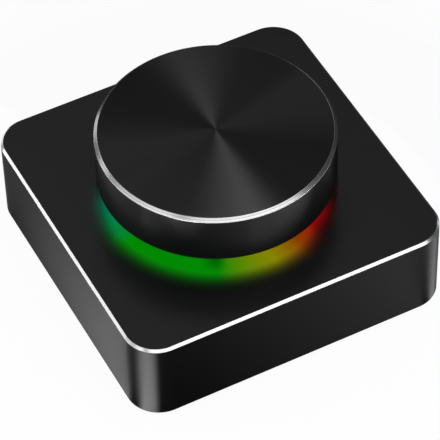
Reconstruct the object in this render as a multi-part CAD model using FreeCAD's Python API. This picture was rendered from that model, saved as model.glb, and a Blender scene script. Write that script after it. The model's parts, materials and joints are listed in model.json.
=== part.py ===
"""USB volume control knob: a square metal desk base with a big turning and clicking dial.

The base is a machined housing closed from below by a screwed cover with a rubber pad. A round light
guide fills the opening in its deck. A circuit board hangs under the deck and carries the ring of
lights, the USB-C socket and a push-and-turn encoder, whose shaft carries the dial.

Frame: millimetres, +Z up, origin at the middle of the pad's underside, socket at the +Y side.
Each function builds one piece and returns its solid, or a list of solids for a group of equal pieces.
"""

import FreeCAD
import Part
import math
import os

V = FreeCAD.Vector
Z_AXIS = V(0, 0, 1)

# ---- driving dimensions: base ----
BASE_SIDE = 70.0            # outer side of the square housing
BASE_CORNER_R = 7.0         # its vertical corners
HOUSING_HEIGHT = 19.4       # metal only, without the pad
EDGE_CHAMFER = 0.5          # bright cut edge round the deck
FOOT_CHAMFER = 0.2          # broken edge round the underside
MIN_CORNER_R = 0.5          # milled inner corner, at least
WALL = 3.4                  # side wall
DECK_THICK = 2.4            # top wall
COVER_WALL = 1.8            # side wall left beside the cover
COVER_THICK = 2.0
COVER_FIT = 0.15            # gap round the cover
PAD_SIDE = 50.0
PAD_CORNER_R = 6.0
PAD_THICK = 1.6
PAD_PROUD = 1.0             # how far the pad lifts the metal off the desk
PAD_EDGE = 0.4              # bevel of the pad's lower edge

# ---- driving dimensions: dial ----
KNOB_RADIUS = 24.5
KNOB_HEIGHT = 11.6
KNOB_GAP = 3.6              # deck to dial
KNOB_CHAMFER = 0.72         # bright cut edge round the dial's top
KNOB_FOOT_CHAMFER = 0.25
KNOB_WALL = 2.2
KNOB_ROOF = 2.0
KNOB_INNER_BEVEL = 1.2      # left by the turning tool in the roof's corners
HUB_RADIUS = 7.5
HUB_HEIGHT = 8.4
HUB_SOCKET_WALL = 1.6       # metal ring that grips the hub
HUB_RIM = 1.2
HUB_SLEEVE = 1.7            # wall of the sleeve round the shaft
HUB_WEB = 1.4
HUB_RIBS = 6
HUB_RIB_WIDTH = 1.0
CLIP_THICK = 0.3            # flat spring on the shaft's flat
CLIP_WIDTH = 3.6
CLIP_HEIGHT = 5.0

# ---- driving dimensions: light guide and lights ----
GUIDE_FIT = 0.1             # gap between the guide and the deck opening
GUIDE_WEB = 2.0             # plate under the dial
GUIDE_FLANGE = 1.5          # overlap behind the deck
GUIDE_FLANGE_THICK = 1.4
GUIDE_RIM = 2.5             # wall of the downward skirt
GUIDE_WELL_R = 8.8          # well round the encoder
GUIDE_WELL_WALL = 1.4
LED_COUNT = 12
LED_SIDE = 5.0
LED_HEIGHT = 1.6
LED_LENS_R = 1.9
LED_LENS_SIDES = 8
LED_LENS_DEPTH = 0.6
LED_INSET = 6.0             # lights' circle, in from the dial's radius

# ---- driving dimensions: circuit board ----
BOARD_THICK = 1.6
BOARD_GAP = 0.8             # gap round the board
POST_RADIUS = 2.2
POST_GAP = 0.3              # post to the guide's flange
BOARD_SCREW_R = 1.0
BOARD_SCREW_BITE = 4.5
BOARD_SCREW_HEAD_R = 1.75
BOARD_SCREW_HEAD_H = 1.3
COVER_SCREW_R = 1.25
COVER_SCREW_BITE = 6.0
COVER_SCREW_HEAD_R = 2.3
COVER_SCREW_HEAD_DEPTH = 1.15
BOSS_MIN_R = 3.9
BOSS_WALL_BITE = 0.3        # corner boss runs this far into the corner wall
SCREW_CLEAR = 0.15          # radial gap of a screw's clearance hole
HOLE_EXTRA_DEPTH = 1.0      # room under a screw's tip
BALLAST_GAP = 1.0           # steel plate to the board's screw heads
BALLAST_MARGIN = 4.6        # steel plate to the housing's inner wall
BALLAST_CORNER_R = 8.0
BALLAST_WELL_GAP = 1.0      # round the encoder's legs and the socket

# ---- driving dimensions: USB-C socket ----
USB_WIDTH = 8.94
USB_HEIGHT = 3.26
USB_LENGTH = 7.35
USB_SHELL = 0.3
USB_RECESS = 0.3            # mouth behind the housing's back face
USB_SLOT_FIT = 0.18
USB_SLOT_CHAMFER = 0.2      # lead-in for the plug
USB_BLOCK = 2.4             # insulator at the socket's back
USB_TONGUE_WIDTH = 6.69
USB_TONGUE_THICK = 0.7
USB_TONGUE_SETBACK = 0.9    # tongue's tip behind the mouth
USB_CONTACTS = 12
USB_CONTACT_PITCH = 0.5
USB_CONTACT_WIDTH = 0.26
USB_CONTACT_THICK = 0.06
USB_CONTACT_LENGTH = 3.2
USB_TAB = 1.2               # width of the shell's solder tabs
USB_WALL = 1.5              # rear wall left at the socket
USB_RELIEF_WIDTH = 15.0     # hollow milled behind that wall
USB_RELIEF_RISE = 0.6       # its roof above the board
USB_BOARD_GAP = 0.5         # board to that wall
USB_TAB_SETBACK = 0.8       # front tabs behind the board's edge

# ---- driving dimensions: push-and-turn encoder ----
ENC_STAND = 6.5             # board to the encoder's mounting face
ENC_BODY_X = 12.4
ENC_BODY_Y = 11.6
FRAME_THICK = 0.5
FRAME_FLANGE = 6.0          # width of the frame's side legs
LUG_WIDTH = 2.0
LEG_REACH = 3.0             # legs below the board's top
BUSHING_R = 3.5
BUSHING_HEIGHT = 5.0        # above the mounting face
WASHER_R = 5.6
WASHER_THICK = 0.5
NUT_ACROSS_FLATS = 10.0
NUT_THICK = 2.0
NUT_BEVEL = 0.35
SHAFT_R = 2.98
SHAFT_LENGTH = 15.0         # above the mounting face
SHAFT_FLAT = 1.5            # flat, from the axis
SHAFT_FLAT_LENGTH = 7.5
SHAFT_TIP_CHAMFER = 0.5
SHAFT_COLLAR_R = 3.6
SHAFT_COLLAR_THICK = 0.8
SHAFT_KEY_R = 2.4
SHAFT_KEY_HALF = 1.6        # flats of the sliding key, from the axis
SHAFT_PIN_R = 1.0
SHAFT_PIN_LENGTH = 0.9
SHAFT_PIN_BEVEL = 0.3
PRESS_TRAVEL = 0.5          # dial's click
RUN_CLEAR = 0.03            # shaft in bushing, key in rotor
STOP_CLEAR = 0.02           # collar to the frame that stops it
ROTOR_R = 4.95
ROTOR_WALL_GAP = 0.2
ROTOR_RIM = 0.15            # unbroken edge outside the grooves
ROTOR_PIVOT_R = 3.0
ROTOR_PIVOT_CLEAR = 0.05
ROTOR_PIVOT_LENGTH = 0.8
SPRING_ROOM = 0.8           # frame to rotor
DETENTS = 20                # clicks in one turn
DETENT_DEPTH = 0.25
DETENT_HALF_ANGLE = 65.0    # of the groove's V
SPRING_THICK = 0.2
SPRING_FLAT_HALF = 2.0
SPRING_OUTER_R = 4.75
SPRING_INNER_R = 3.95
CODE_THICK = 0.15
CODE_INNER_R = 3.15
CODE_TRACK = 0.5            # width of the unbroken track
CODE_OUTER_R = 4.8
CONTACT_THICK = 0.15
CONTACT_WIDTH = 0.8
CONTACT_GAP = 0.25          # base floor to the code ring
CONTACT_CLEAR = 0.03
LEG_THICK = 0.3
LEG_PITCH = 2.5
SWITCH_PITCH = 1.5          # switch legs, from the middle
DOME_R = 2.3
DOME_RISE = 0.5
DOME_THICK = 0.1
DOME_TOP_SHARE = 0.45       # flat top over the whole radius
DOME_CLEAR = 0.05           # dome to the shaft's pin
DOME_ROOM = 0.2             # round the dome
ENC_FLOOR = 0.3             # base under the switch dome

# ---- driving dimensions: other parts on the board ----
CHIP_LENGTH = 5.0
CHIP_WIDTH = 4.4
CHIP_HEIGHT = 1.0
CHIP_LEADS = 8              # on each side
CHIP_LEAD_PITCH = 0.65
CHIP_LEAD_WIDTH = 0.25
CHIP_LEAD_THICK = 0.15
CHIP_LEAD_REACH = 1.0
CHIP_POS = V(-14.0, 3.0, 0)
CAP_LENGTH = 1.6
CAP_WIDTH = 0.8
CRYSTAL_SIZE = V(3.2, 2.5, 0.8)
CRYSTAL_POS = V(-14.0, -4.5, 0)
RESISTORS = 6
RESISTOR_PITCH = 2.2
RESISTOR_POS = V(12.0, 16.0, 0)

# ---- levels, from the desk up ----
Z_METAL = PAD_PROUD
Z_DECK = Z_METAL + HOUSING_HEIGHT
Z_DECK_UNDER = Z_DECK - DECK_THICK
Z_COVER_TOP = Z_METAL + COVER_THICK
Z_MOUNT = Z_DECK - GUIDE_WEB                # encoder's mounting face
Z_BOARD_TOP = Z_MOUNT - ENC_STAND
Z_BOARD_UNDER = Z_BOARD_TOP - BOARD_THICK
Z_USB = Z_BOARD_UNDER - USB_HEIGHT / 2      # socket's middle
Z_BALLAST_TOP = Z_BOARD_UNDER - BOARD_SCREW_HEAD_H - BALLAST_GAP
Z_KNOB = Z_DECK + KNOB_GAP
Z_KNOB_TOP = Z_KNOB + KNOB_HEIGHT
Z_KNOB_ROOF = Z_KNOB_TOP - KNOB_ROOF
Z_HUB = Z_KNOB_ROOF - HUB_HEIGHT
Z_NUT = Z_DECK + WASHER_THICK
Z_BUSHING_TOP = Z_MOUNT + BUSHING_HEIGHT
Z_SHAFT_TOP = Z_MOUNT + SHAFT_LENGTH
Z_FRAME_UNDER = Z_MOUNT - FRAME_THICK
Z_ROTOR_TOP = Z_FRAME_UNDER - SPRING_ROOM
Z_COLLAR = Z_FRAME_UNDER - SHAFT_COLLAR_THICK
Z_SWITCH_FLOOR = Z_BOARD_TOP + ENC_FLOOR
Z_DOME = Z_SWITCH_FLOOR + CONTACT_THICK
Z_PIN = Z_DOME + DOME_RISE + DOME_THICK + DOME_CLEAR
Z_PIVOT = Z_PIN + DOME_ROOM
Z_ROTOR = Z_PIVOT + ROTOR_PIVOT_LENGTH
Z_CODE = Z_ROTOR - CODE_THICK
Z_BASE_FLOOR = Z_CODE - CONTACT_GAP
Z_LEG_END = Z_BOARD_TOP - LEG_REACH

# ---- places in plan ----
INNER_SIDE = BASE_SIDE - 2 * WALL
INNER_CORNER_R = max(BASE_CORNER_R - WALL, MIN_CORNER_R)
BOSS_R = max(BOSS_MIN_R, INNER_CORNER_R + BOSS_WALL_BITE)
BOSS_XY = BASE_SIDE / 2 - BASE_CORNER_R
BACK_Y = BASE_SIDE / 2
USB_MOUTH_Y = BACK_Y - USB_RECESS
USB_BACK_Y = USB_MOUTH_Y - USB_LENGTH
USB_WALL_Y = BACK_Y - USB_WALL
USB_BOARD_Y = USB_WALL_Y - USB_BOARD_GAP
GUIDE_R = KNOB_RADIUS
OPENING_R = GUIDE_R + GUIDE_FIT
FLANGE_R = OPENING_R + GUIDE_FLANGE
POST_XY = (FLANGE_R + POST_GAP + POST_RADIUS) / math.sqrt(2)
LED_CIRCLE_R = KNOB_RADIUS - LED_INSET
ENC_HALF_X = ENC_BODY_X / 2
ENC_HALF_Y = ENC_BODY_Y / 2
BASE_HALF_X = ENC_HALF_X - FRAME_THICK
LEG_Y = ENC_HALF_Y + LEG_THICK / 2
BORE_R = SHAFT_R + RUN_CLEAR
CORNERS = [(1, 1), (-1, 1), (-1, -1), (1, -1)]
LEVEL_TOLERANCE = 1e-6


# ---- shape helpers ----
def face_of(edges):
    return Part.Face(Part.Wire(edges))


def line(a, b):
    return Part.LineSegment(a, b).toShape()


def arc(a, b, c):
    return Part.Arc(a, b, c).toShape()


def disc(radius, z_low, z_high, x=0.0, y=0.0):
    """Upright cylinder between two levels."""
    return Part.makeCylinder(radius, z_high - z_low, V(x, y, z_low), Z_AXIS)


def ring(outer, inner, z_low, z_high, x=0.0, y=0.0):
    """Upright tube between two levels."""
    return disc(outer, z_low, z_high, x, y).cut(disc(inner, z_low, z_high, x, y))


def block(x_low, x_high, y_low, y_high, z_low, z_high):
    return Part.makeBox(x_high - x_low, y_high - y_low, z_high - z_low, V(x_low, y_low, z_low))


def centred_block(size_x, size_y, z_low, z_high, x=0.0, y=0.0):
    return block(x - size_x / 2, x + size_x / 2, y - size_y / 2, y + size_y / 2, z_low, z_high)


def rounded_square(side, radius, z_low, z_high):
    """Square prism with rounded vertical corners, centred on the axis."""
    half = side / 2
    inner = half - radius
    lean = radius / math.sqrt(2)
    edges = []
    for k in range(4):
        turn = FreeCAD.Rotation(Z_AXIS, 90 * k)
        start = turn.multVec(V(half, -inner, z_low))
        end = turn.multVec(V(half, inner, z_low))
        middle = turn.multVec(V(inner + lean, inner + lean, z_low))
        after = turn.multVec(V(inner, half, z_low))
        edges.append(line(start, end))
        edges.append(arc(end, middle, after))
    return face_of(edges).extrude(V(0, 0, z_high - z_low))


def polygon_bar(corner_radius, sides, z_low, z_high, x=0.0, first_deg=0.0):
    """Upright prism with equal sides, its axis at (x, 0)."""
    angles = [math.radians(first_deg + 360.0 * k / sides) for k in range(sides)]
    corners = [V(x + corner_radius * math.cos(a), corner_radius * math.sin(a), z_low)
               for a in angles]
    outline = Part.makePolygon(corners + corners[:1])
    return Part.Face(outline).extrude(V(0, 0, z_high - z_low))


def slot_along_y(width, height, y_low, y_high, z_mid):
    """Bar along Y whose section is a slot with round ends."""
    r = height / 2
    reach = width / 2 - r
    left_top, left_bottom = V(-reach, y_low, z_mid + r), V(-reach, y_low, z_mid - r)
    right_top, right_bottom = V(reach, y_low, z_mid + r), V(reach, y_low, z_mid - r)
    edges = [
        line(left_top, right_top),
        arc(right_top, V(reach + r, y_low, z_mid), right_bottom),
        line(right_bottom, left_bottom),
        arc(left_bottom, V(-reach - r, y_low, z_mid), left_top),
    ]
    return face_of(edges).extrude(V(0, y_high - y_low, 0))


def turned(points):
    """Solid of revolution about Z from (radius, height) corners."""
    corners = [V(r, 0, z) for r, z in points]
    return Part.Face(Part.makePolygon(corners + corners[:1])).revolve(V(), Z_AXIS, 360)


def plate_profile(points, width, x=0.0):
    """Bent strip: (y, z) corners of its side view, spread evenly to both sides of x."""
    corners = [V(x - width / 2, y, z) for y, z in points]
    return Part.Face(Part.makePolygon(corners + corners[:1])).extrude(V(width, 0, 0))


def round_copies(shape, count, offset_deg=0.0):
    """Copies of a shape, evenly spaced round Z."""
    copies = []
    for k in range(count):
        copy = shape.copy()
        copy.rotate(V(), Z_AXIS, offset_deg + 360.0 * k / count)
        copies.append(copy)
    return copies


def double_d(radius, half, z_low, z_high):
    """Round bar with two flats across X."""
    bar = disc(radius, z_low, z_high)
    return bar.common(block(-half, half, -radius, radius, z_low, z_high))


def single_d(radius, flat, z_low, z_high):
    """Round bar with one flat on its +X side."""
    bar = disc(radius, z_low, z_high)
    return bar.common(block(-radius, flat, -radius, radius, z_low, z_high))


def edges_at(shape, z):
    """Edges that lie flat at one level."""
    return [edge for edge in shape.Edges
            if abs(edge.BoundBox.ZMin - z) < LEVEL_TOLERANCE
            and abs(edge.BoundBox.ZMax - z) < LEVEL_TOLERANCE]


# ---- base ----
def housing():
    """Machined body: four walls and a deck, open below, with screw columns hanging from the deck."""
    body = rounded_square(BASE_SIDE, BASE_CORNER_R, Z_METAL, Z_DECK)
    body = body.makeChamfer(EDGE_CHAMFER, edges_at(body, Z_DECK))
    body = body.makeChamfer(FOOT_CHAMFER, edges_at(body, Z_METAL))
    pocket = rounded_square(INNER_SIDE, INNER_CORNER_R, Z_COVER_TOP, Z_DECK_UNDER)
    for sx, sy in CORNERS:
        pocket = pocket.cut(disc(BOSS_R, Z_COVER_TOP, Z_DECK_UNDER, sx * BOSS_XY, sy * BOSS_XY))
        post = disc(POST_RADIUS, Z_BOARD_TOP, Z_DECK_UNDER, sx * POST_XY, sy * POST_XY)
        pocket = pocket.cut(post)
    body = body.cut(pocket)
    body = body.cut(cover_seat())
    body = body.cut(disc(OPENING_R, Z_DECK_UNDER, Z_DECK))
    slot_width = USB_WIDTH + 2 * USB_SLOT_FIT
    slot_height = USB_HEIGHT + 2 * USB_SLOT_FIT
    half_relief = USB_RELIEF_WIDTH / 2
    relief = block(-half_relief, half_relief, 0, USB_WALL_Y,
                   Z_COVER_TOP, Z_BOARD_TOP + USB_RELIEF_RISE)
    body = body.cut(relief)
    body = body.cut(slot_along_y(slot_width, slot_height, INNER_SIDE / 2, BACK_Y, Z_USB))
    mouth = [edge for edge in body.Edges
             if abs(edge.BoundBox.YMin - BACK_Y) < LEVEL_TOLERANCE
             and edge.BoundBox.XMin > -slot_width and edge.BoundBox.XMax < slot_width
             and Z_USB - slot_height < edge.BoundBox.ZMin < Z_USB + slot_height]
    body = body.makeChamfer(USB_SLOT_CHAMFER, mouth)
    for sx, sy in CORNERS:
        cover_depth = COVER_SCREW_BITE + HOLE_EXTRA_DEPTH
        cover_hole = disc(COVER_SCREW_R, Z_COVER_TOP, Z_COVER_TOP + cover_depth,
                          sx * BOSS_XY, sy * BOSS_XY)
        board_hole = disc(BOARD_SCREW_R, Z_BOARD_TOP, Z_BOARD_TOP + BOARD_SCREW_BITE,
                          sx * POST_XY, sy * POST_XY)
        body = body.cut(cover_hole).cut(board_hole)
    return body


def cover_seat():
    """Space that the cover drops into, up to the ledge it rests on."""
    side = BASE_SIDE - 2 * COVER_WALL
    return rounded_square(side, BASE_CORNER_R - COVER_WALL, Z_METAL, Z_COVER_TOP)


def bottom_cover():
    """Plate let into the housing's underside, with a shallow seat for the pad."""
    side = BASE_SIDE - 2 * COVER_WALL - 2 * COVER_FIT
    plate = rounded_square(side, BASE_CORNER_R - COVER_WALL - COVER_FIT, Z_METAL, Z_COVER_TOP)
    seat_depth = PAD_THICK - PAD_PROUD
    plate = plate.cut(rounded_square(PAD_SIDE, PAD_CORNER_R, Z_METAL, Z_METAL + seat_depth))
    for sx, sy in CORNERS:
        plate = plate.cut(disc(COVER_SCREW_R + SCREW_CLEAR, Z_METAL, Z_COVER_TOP,
                               sx * BOSS_XY, sy * BOSS_XY))
        plate = plate.cut(countersunk_head(sx * BOSS_XY, sy * BOSS_XY))
    return plate


def countersunk_head(x, y):
    """Cone of a flat-headed screw whose face is level with the cover."""
    return Part.makeCone(COVER_SCREW_HEAD_R, COVER_SCREW_R, COVER_SCREW_HEAD_DEPTH,
                         V(x, y, Z_METAL), Z_AXIS)


def cover_screws():
    """Four flat-headed screws that hold the cover to the corner columns."""
    screws = []
    for sx, sy in CORNERS:
        x, y = sx * BOSS_XY, sy * BOSS_XY
        shank = disc(COVER_SCREW_R, Z_METAL + COVER_SCREW_HEAD_DEPTH,
                     Z_COVER_TOP + COVER_SCREW_BITE, x, y)
        screws.append(countersunk_head(x, y).fuse(shank))
    return screws


def rubber_pad():
    """Soft foot glued into the cover's seat. The object stands on it."""
    pad = rounded_square(PAD_SIDE, PAD_CORNER_R, 0, PAD_THICK)
    return pad.makeChamfer(PAD_EDGE, edges_at(pad, 0))


def ballast_plate():
    """Steel weight on the cover, cut away round the encoder's legs and the socket."""
    side = INNER_SIDE - 2 * BALLAST_MARGIN
    plate = rounded_square(side, BALLAST_CORNER_R, Z_COVER_TOP, Z_BALLAST_TOP)
    well = math.hypot(ENC_HALF_X, ENC_HALF_Y) + BALLAST_WELL_GAP
    plate = plate.cut(disc(well, Z_COVER_TOP, Z_BALLAST_TOP))
    notch = USB_WIDTH / 2 + BALLAST_WELL_GAP
    return plate.cut(block(-notch, notch, USB_BACK_Y - BALLAST_WELL_GAP, BACK_Y,
                           Z_COVER_TOP, Z_BALLAST_TOP))


# ---- light guide and board ----
def light_guide():
    """Smoked moulding that fills the deck opening: plate, skirt, flange and a well for the encoder."""
    z_foot = Z_DECK_UNDER - GUIDE_FLANGE_THICK
    plate = disc(GUIDE_R, Z_MOUNT, Z_DECK)
    skirt = ring(GUIDE_R, GUIDE_R - GUIDE_RIM, z_foot, Z_DECK)
    flange = ring(FLANGE_R, GUIDE_R - GUIDE_RIM, z_foot, Z_DECK_UNDER)
    flange = flange.common(rounded_square(INNER_SIDE - 2 * GUIDE_FIT, INNER_CORNER_R,
                                          z_foot, Z_DECK_UNDER))
    well = ring(GUIDE_WELL_R + GUIDE_WELL_WALL, GUIDE_WELL_R, z_foot, Z_DECK)
    guide = plate.fuse([skirt, flange, well]).removeSplitter()
    return guide.cut(disc(BUSHING_R + GUIDE_FIT, Z_MOUNT, Z_DECK))


def circuit_board():
    """Board with notches for the corner columns and holes for screws, legs and tabs."""
    board = rounded_square(INNER_SIDE - 2 * BOARD_GAP, INNER_CORNER_R,
                           Z_BOARD_UNDER, Z_BOARD_TOP)
    half_tongue = USB_RELIEF_WIDTH / 2 - BOARD_GAP
    tongue = block(-half_tongue, half_tongue, 0, USB_BOARD_Y, Z_BOARD_UNDER, Z_BOARD_TOP)
    board = board.fuse(tongue).removeSplitter()
    holes = []
    for sx, sy in CORNERS:
        holes.append(disc(BOSS_R + BOARD_GAP, Z_BOARD_UNDER, Z_BOARD_TOP,
                          sx * BOSS_XY, sy * BOSS_XY))
        holes.append(disc(BOARD_SCREW_R + SCREW_CLEAR, Z_BOARD_UNDER, Z_BOARD_TOP,
                          sx * POST_XY, sy * POST_XY))
    legs = [(x, -LEG_Y) for x in wiper_places()] + [(x, LEG_Y) for x in switch_places()]
    for x, y in legs:
        holes.append(centred_block(CONTACT_WIDTH + 2 * SCREW_CLEAR,
                                   LEG_THICK + 2 * SCREW_CLEAR,
                                   Z_BOARD_UNDER, Z_BOARD_TOP, x, y))
    for side in (1, -1):
        lug_x = side * (ENC_HALF_X - FRAME_THICK / 2)
        holes.append(centred_block(FRAME_THICK + 2 * SCREW_CLEAR, LUG_WIDTH + 2 * SCREW_CLEAR,
                                   Z_BOARD_UNDER, Z_BOARD_TOP, lug_x))
    for x, y in tab_places():
        holes.append(centred_block(USB_SHELL + 2 * SCREW_CLEAR, USB_TAB + 2 * SCREW_CLEAR,
                                   Z_BOARD_UNDER, Z_BOARD_TOP, x, y))
    return board.cut(holes)


def board_screws():
    """Four pan-headed screws from below that hold the board to its posts."""
    screws = []
    for sx, sy in CORNERS:
        x, y = sx * POST_XY, sy * POST_XY
        z_face = Z_BOARD_UNDER - BOARD_SCREW_HEAD_H
        head = disc(BOARD_SCREW_HEAD_R, z_face, Z_BOARD_UNDER, x, y)
        shank = disc(BOARD_SCREW_R, Z_BOARD_UNDER,
                     Z_BOARD_TOP + BOARD_SCREW_BITE - HOLE_EXTRA_DEPTH, x, y)
        screws.append(head.fuse(shank))
    return screws


def led_packages():
    """Ring of square light packages, each with an eight-sided cup."""
    package = centred_block(LED_SIDE, LED_SIDE, Z_BOARD_TOP, Z_BOARD_TOP + LED_HEIGHT,
                            LED_CIRCLE_R)
    return round_copies(package.cut(led_cup()), LED_COUNT)


def led_lenses():
    """Clear resin that fills the cups."""
    return round_copies(led_cup(), LED_COUNT)


def led_cup():
    z_floor = Z_BOARD_TOP + LED_HEIGHT - LED_LENS_DEPTH
    return polygon_bar(LED_LENS_R, LED_LENS_SIDES, z_floor, Z_BOARD_TOP + LED_HEIGHT,
                       LED_CIRCLE_R)


def chip_capacitors():
    """One small capacitor between each two lights."""
    chip = centred_block(CAP_LENGTH, CAP_WIDTH, Z_BOARD_TOP, Z_BOARD_TOP + CAP_WIDTH,
                         LED_CIRCLE_R)
    return round_copies(chip, LED_COUNT, 180.0 / LED_COUNT)


def chip_resistors():
    """Row of small resistors under the board."""
    row = []
    for k in range(RESISTORS):
        row.append(centred_block(CAP_WIDTH, CAP_LENGTH, Z_BOARD_UNDER - CAP_WIDTH / 2,
                                 Z_BOARD_UNDER, RESISTOR_POS.x,
                                 RESISTOR_POS.y - k * RESISTOR_PITCH))
    return row


def crystal():
    """Clock crystal under the board, in a metal can with rounded edges."""
    can = centred_block(CRYSTAL_SIZE.x, CRYSTAL_SIZE.y, Z_BOARD_UNDER - CRYSTAL_SIZE.z,
                        Z_BOARD_UNDER, CRYSTAL_POS.x, CRYSTAL_POS.y)
    upright = [e for e in can.Edges if e.BoundBox.ZLength > CRYSTAL_SIZE.z / 2]
    return can.makeFillet(CRYSTAL_SIZE.z / 2, upright)


def controller_chip():
    """Moulded body of the controller, held off the board by its leads."""
    return centred_block(CHIP_LENGTH, CHIP_WIDTH,
                         Z_BOARD_UNDER - CHIP_LEAD_THICK - CHIP_HEIGHT,
                         Z_BOARD_UNDER - CHIP_LEAD_THICK, CHIP_POS.x, CHIP_POS.y)


def controller_leads():
    """Gull-wing leads along both long sides of the controller."""
    z_mid = Z_BOARD_UNDER - CHIP_LEAD_THICK - CHIP_HEIGHT / 2
    t = CHIP_LEAD_THICK
    bend = CHIP_LEAD_REACH / 2
    side_view = [
        (CHIP_WIDTH / 2, z_mid - t / 2),
        (CHIP_WIDTH / 2 + bend, z_mid - t / 2),
        (CHIP_WIDTH / 2 + bend, Z_BOARD_UNDER - t),
        (CHIP_WIDTH / 2 + CHIP_LEAD_REACH, Z_BOARD_UNDER - t),
        (CHIP_WIDTH / 2 + CHIP_LEAD_REACH, Z_BOARD_UNDER),
        (CHIP_WIDTH / 2 + bend - t, Z_BOARD_UNDER),
        (CHIP_WIDTH / 2 + bend - t, z_mid + t / 2),
        (CHIP_WIDTH / 2, z_mid + t / 2),
    ]
    leads = []
    for k in range(CHIP_LEADS):
        x = (k - (CHIP_LEADS - 1) / 2) * CHIP_LEAD_PITCH
        for turn in (0, 180):
            lead = plate_profile(side_view, CHIP_LEAD_WIDTH, x)
            lead.rotate(V(), Z_AXIS, turn)
            lead.translate(CHIP_POS)
            leads.append(lead)
    return leads


# ---- USB-C socket ----
def tab_places():
    """Where the socket's shell is soldered through the board."""
    x = USB_WIDTH / 2 - USB_SHELL / 2
    front = USB_BOARD_Y - USB_TAB_SETBACK - USB_TAB / 2
    return [(sx * x, y) for sx in (1, -1) for y in (front, USB_BACK_Y + USB_TAB / 2)]


def usb_shell():
    """Drawn metal shell of the socket with four solder tabs."""
    outer = slot_along_y(USB_WIDTH, USB_HEIGHT, USB_BACK_Y, USB_MOUTH_Y, Z_USB)
    inner = slot_along_y(USB_WIDTH - 2 * USB_SHELL, USB_HEIGHT - 2 * USB_SHELL,
                         USB_BACK_Y, USB_MOUTH_Y, Z_USB)
    tabs = [centred_block(USB_SHELL, USB_TAB, Z_USB, Z_BOARD_TOP, x, y)
            for x, y in tab_places()]
    return outer.fuse(tabs).cut(inner)


def usb_tongue():
    """Insulator: a block that closes the shell's back and the thin tongue that the plug goes over."""
    block_front = USB_BACK_Y + USB_BLOCK
    back = slot_along_y(USB_WIDTH - 2 * USB_SHELL, USB_HEIGHT - 2 * USB_SHELL,
                        USB_BACK_Y, block_front, Z_USB)
    tongue = centred_block(USB_TONGUE_WIDTH, USB_MOUTH_Y - USB_TONGUE_SETBACK - block_front,
                           Z_USB - USB_TONGUE_THICK / 2, Z_USB + USB_TONGUE_THICK / 2,
                           0, (USB_MOUTH_Y - USB_TONGUE_SETBACK + block_front) / 2)
    return back.fuse(tongue).removeSplitter()


def usb_contacts():
    """Flat contacts on both faces of the tongue."""
    tip = USB_MOUTH_Y - USB_TONGUE_SETBACK - USB_CONTACT_WIDTH
    contacts = []
    for k in range(USB_CONTACTS):
        x = (k - (USB_CONTACTS - 1) / 2) * USB_CONTACT_PITCH
        for z in (Z_USB + USB_TONGUE_THICK / 2,
                  Z_USB - USB_TONGUE_THICK / 2 - USB_CONTACT_THICK):
            contacts.append(block(x - USB_CONTACT_WIDTH / 2, x + USB_CONTACT_WIDTH / 2,
                                  tip - USB_CONTACT_LENGTH, tip, z, z + USB_CONTACT_THICK))
    return contacts


# ---- encoder: fixed pieces ----
def wiper_places():
    return [k * LEG_PITCH for k in (-1, 0, 1)]


def switch_places():
    return [-SWITCH_PITCH, SWITCH_PITCH]


def encoder_base():
    """Moulded cup that holds the rotor, with a pocket for the switch dome below it."""
    base = block(-BASE_HALF_X, BASE_HALF_X, -ENC_HALF_Y, ENC_HALF_Y,
                 Z_BOARD_TOP, Z_FRAME_UNDER)
    cup = disc(ROTOR_R + ROTOR_WALL_GAP, Z_BASE_FLOOR, Z_FRAME_UNDER)
    pivot = disc(ROTOR_PIVOT_R + ROTOR_PIVOT_CLEAR, Z_PIN + DOME_ROOM / 2, Z_BASE_FLOOR)
    pocket = disc(DOME_R + DOME_ROOM, Z_SWITCH_FLOOR, Z_PIN + DOME_ROOM / 2)
    half = CONTACT_WIDTH / 2
    slots = []
    for x in wiper_places():
        slots.append(block(x - half, x + half, -ENC_HALF_Y, 0,
                           Z_BASE_FLOOR, Z_BASE_FLOOR + CONTACT_THICK))
    for x in switch_places():
        slots.append(block(x - half, x + half, 0, ENC_HALF_Y,
                           Z_SWITCH_FLOOR, Z_SWITCH_FLOOR + CONTACT_THICK))
    return base.cut([cup, pivot, pocket] + slots)


def encoder_frame():
    """Bent sheet-metal bridge over the base, with a lug on each side that is soldered in the board."""
    top = block(-ENC_HALF_X, ENC_HALF_X, -ENC_HALF_Y, ENC_HALF_Y, Z_FRAME_UNDER, Z_MOUNT)
    legs = []
    for side in (1, -1):
        x = side * (ENC_HALF_X - FRAME_THICK / 2)
        legs.append(centred_block(FRAME_THICK, FRAME_FLANGE, Z_BOARD_TOP, Z_FRAME_UNDER, x))
        legs.append(centred_block(FRAME_THICK, LUG_WIDTH, Z_LEG_END, Z_BOARD_TOP, x))
    frame = top.fuse(legs).removeSplitter()
    return frame.cut(disc(BUSHING_R, Z_FRAME_UNDER, Z_MOUNT))


def encoder_bushing():
    """Bearing sleeve that the shaft turns and slides in. The nut clamps the guide on it."""
    sleeve = disc(BUSHING_R, Z_FRAME_UNDER, Z_BUSHING_TOP)
    sleeve = sleeve.makeChamfer(NUT_BEVEL, edges_at(sleeve, Z_BUSHING_TOP))
    return sleeve.cut(disc(BORE_R, Z_FRAME_UNDER, Z_BUSHING_TOP))


def encoder_washer():
    return ring(WASHER_R, BUSHING_R, Z_DECK, Z_NUT)


def encoder_nut():
    """Hexagon nut with its corners bevelled on the upper side."""
    z_top = Z_NUT + NUT_THICK
    reach = NUT_ACROSS_FLATS / 2 / math.cos(math.pi / 6)
    nut = polygon_bar(reach, 6, Z_NUT, z_top)
    turned_blank = turned([(0, Z_NUT), (reach + NUT_BEVEL, Z_NUT),
                           (reach + NUT_BEVEL, z_top - NUT_BEVEL * 2),
                           (NUT_ACROSS_FLATS / 2 - NUT_BEVEL / 2, z_top), (0, z_top)])
    return nut.common(turned_blank).cut(disc(BUSHING_R, Z_NUT, z_top))


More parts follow.
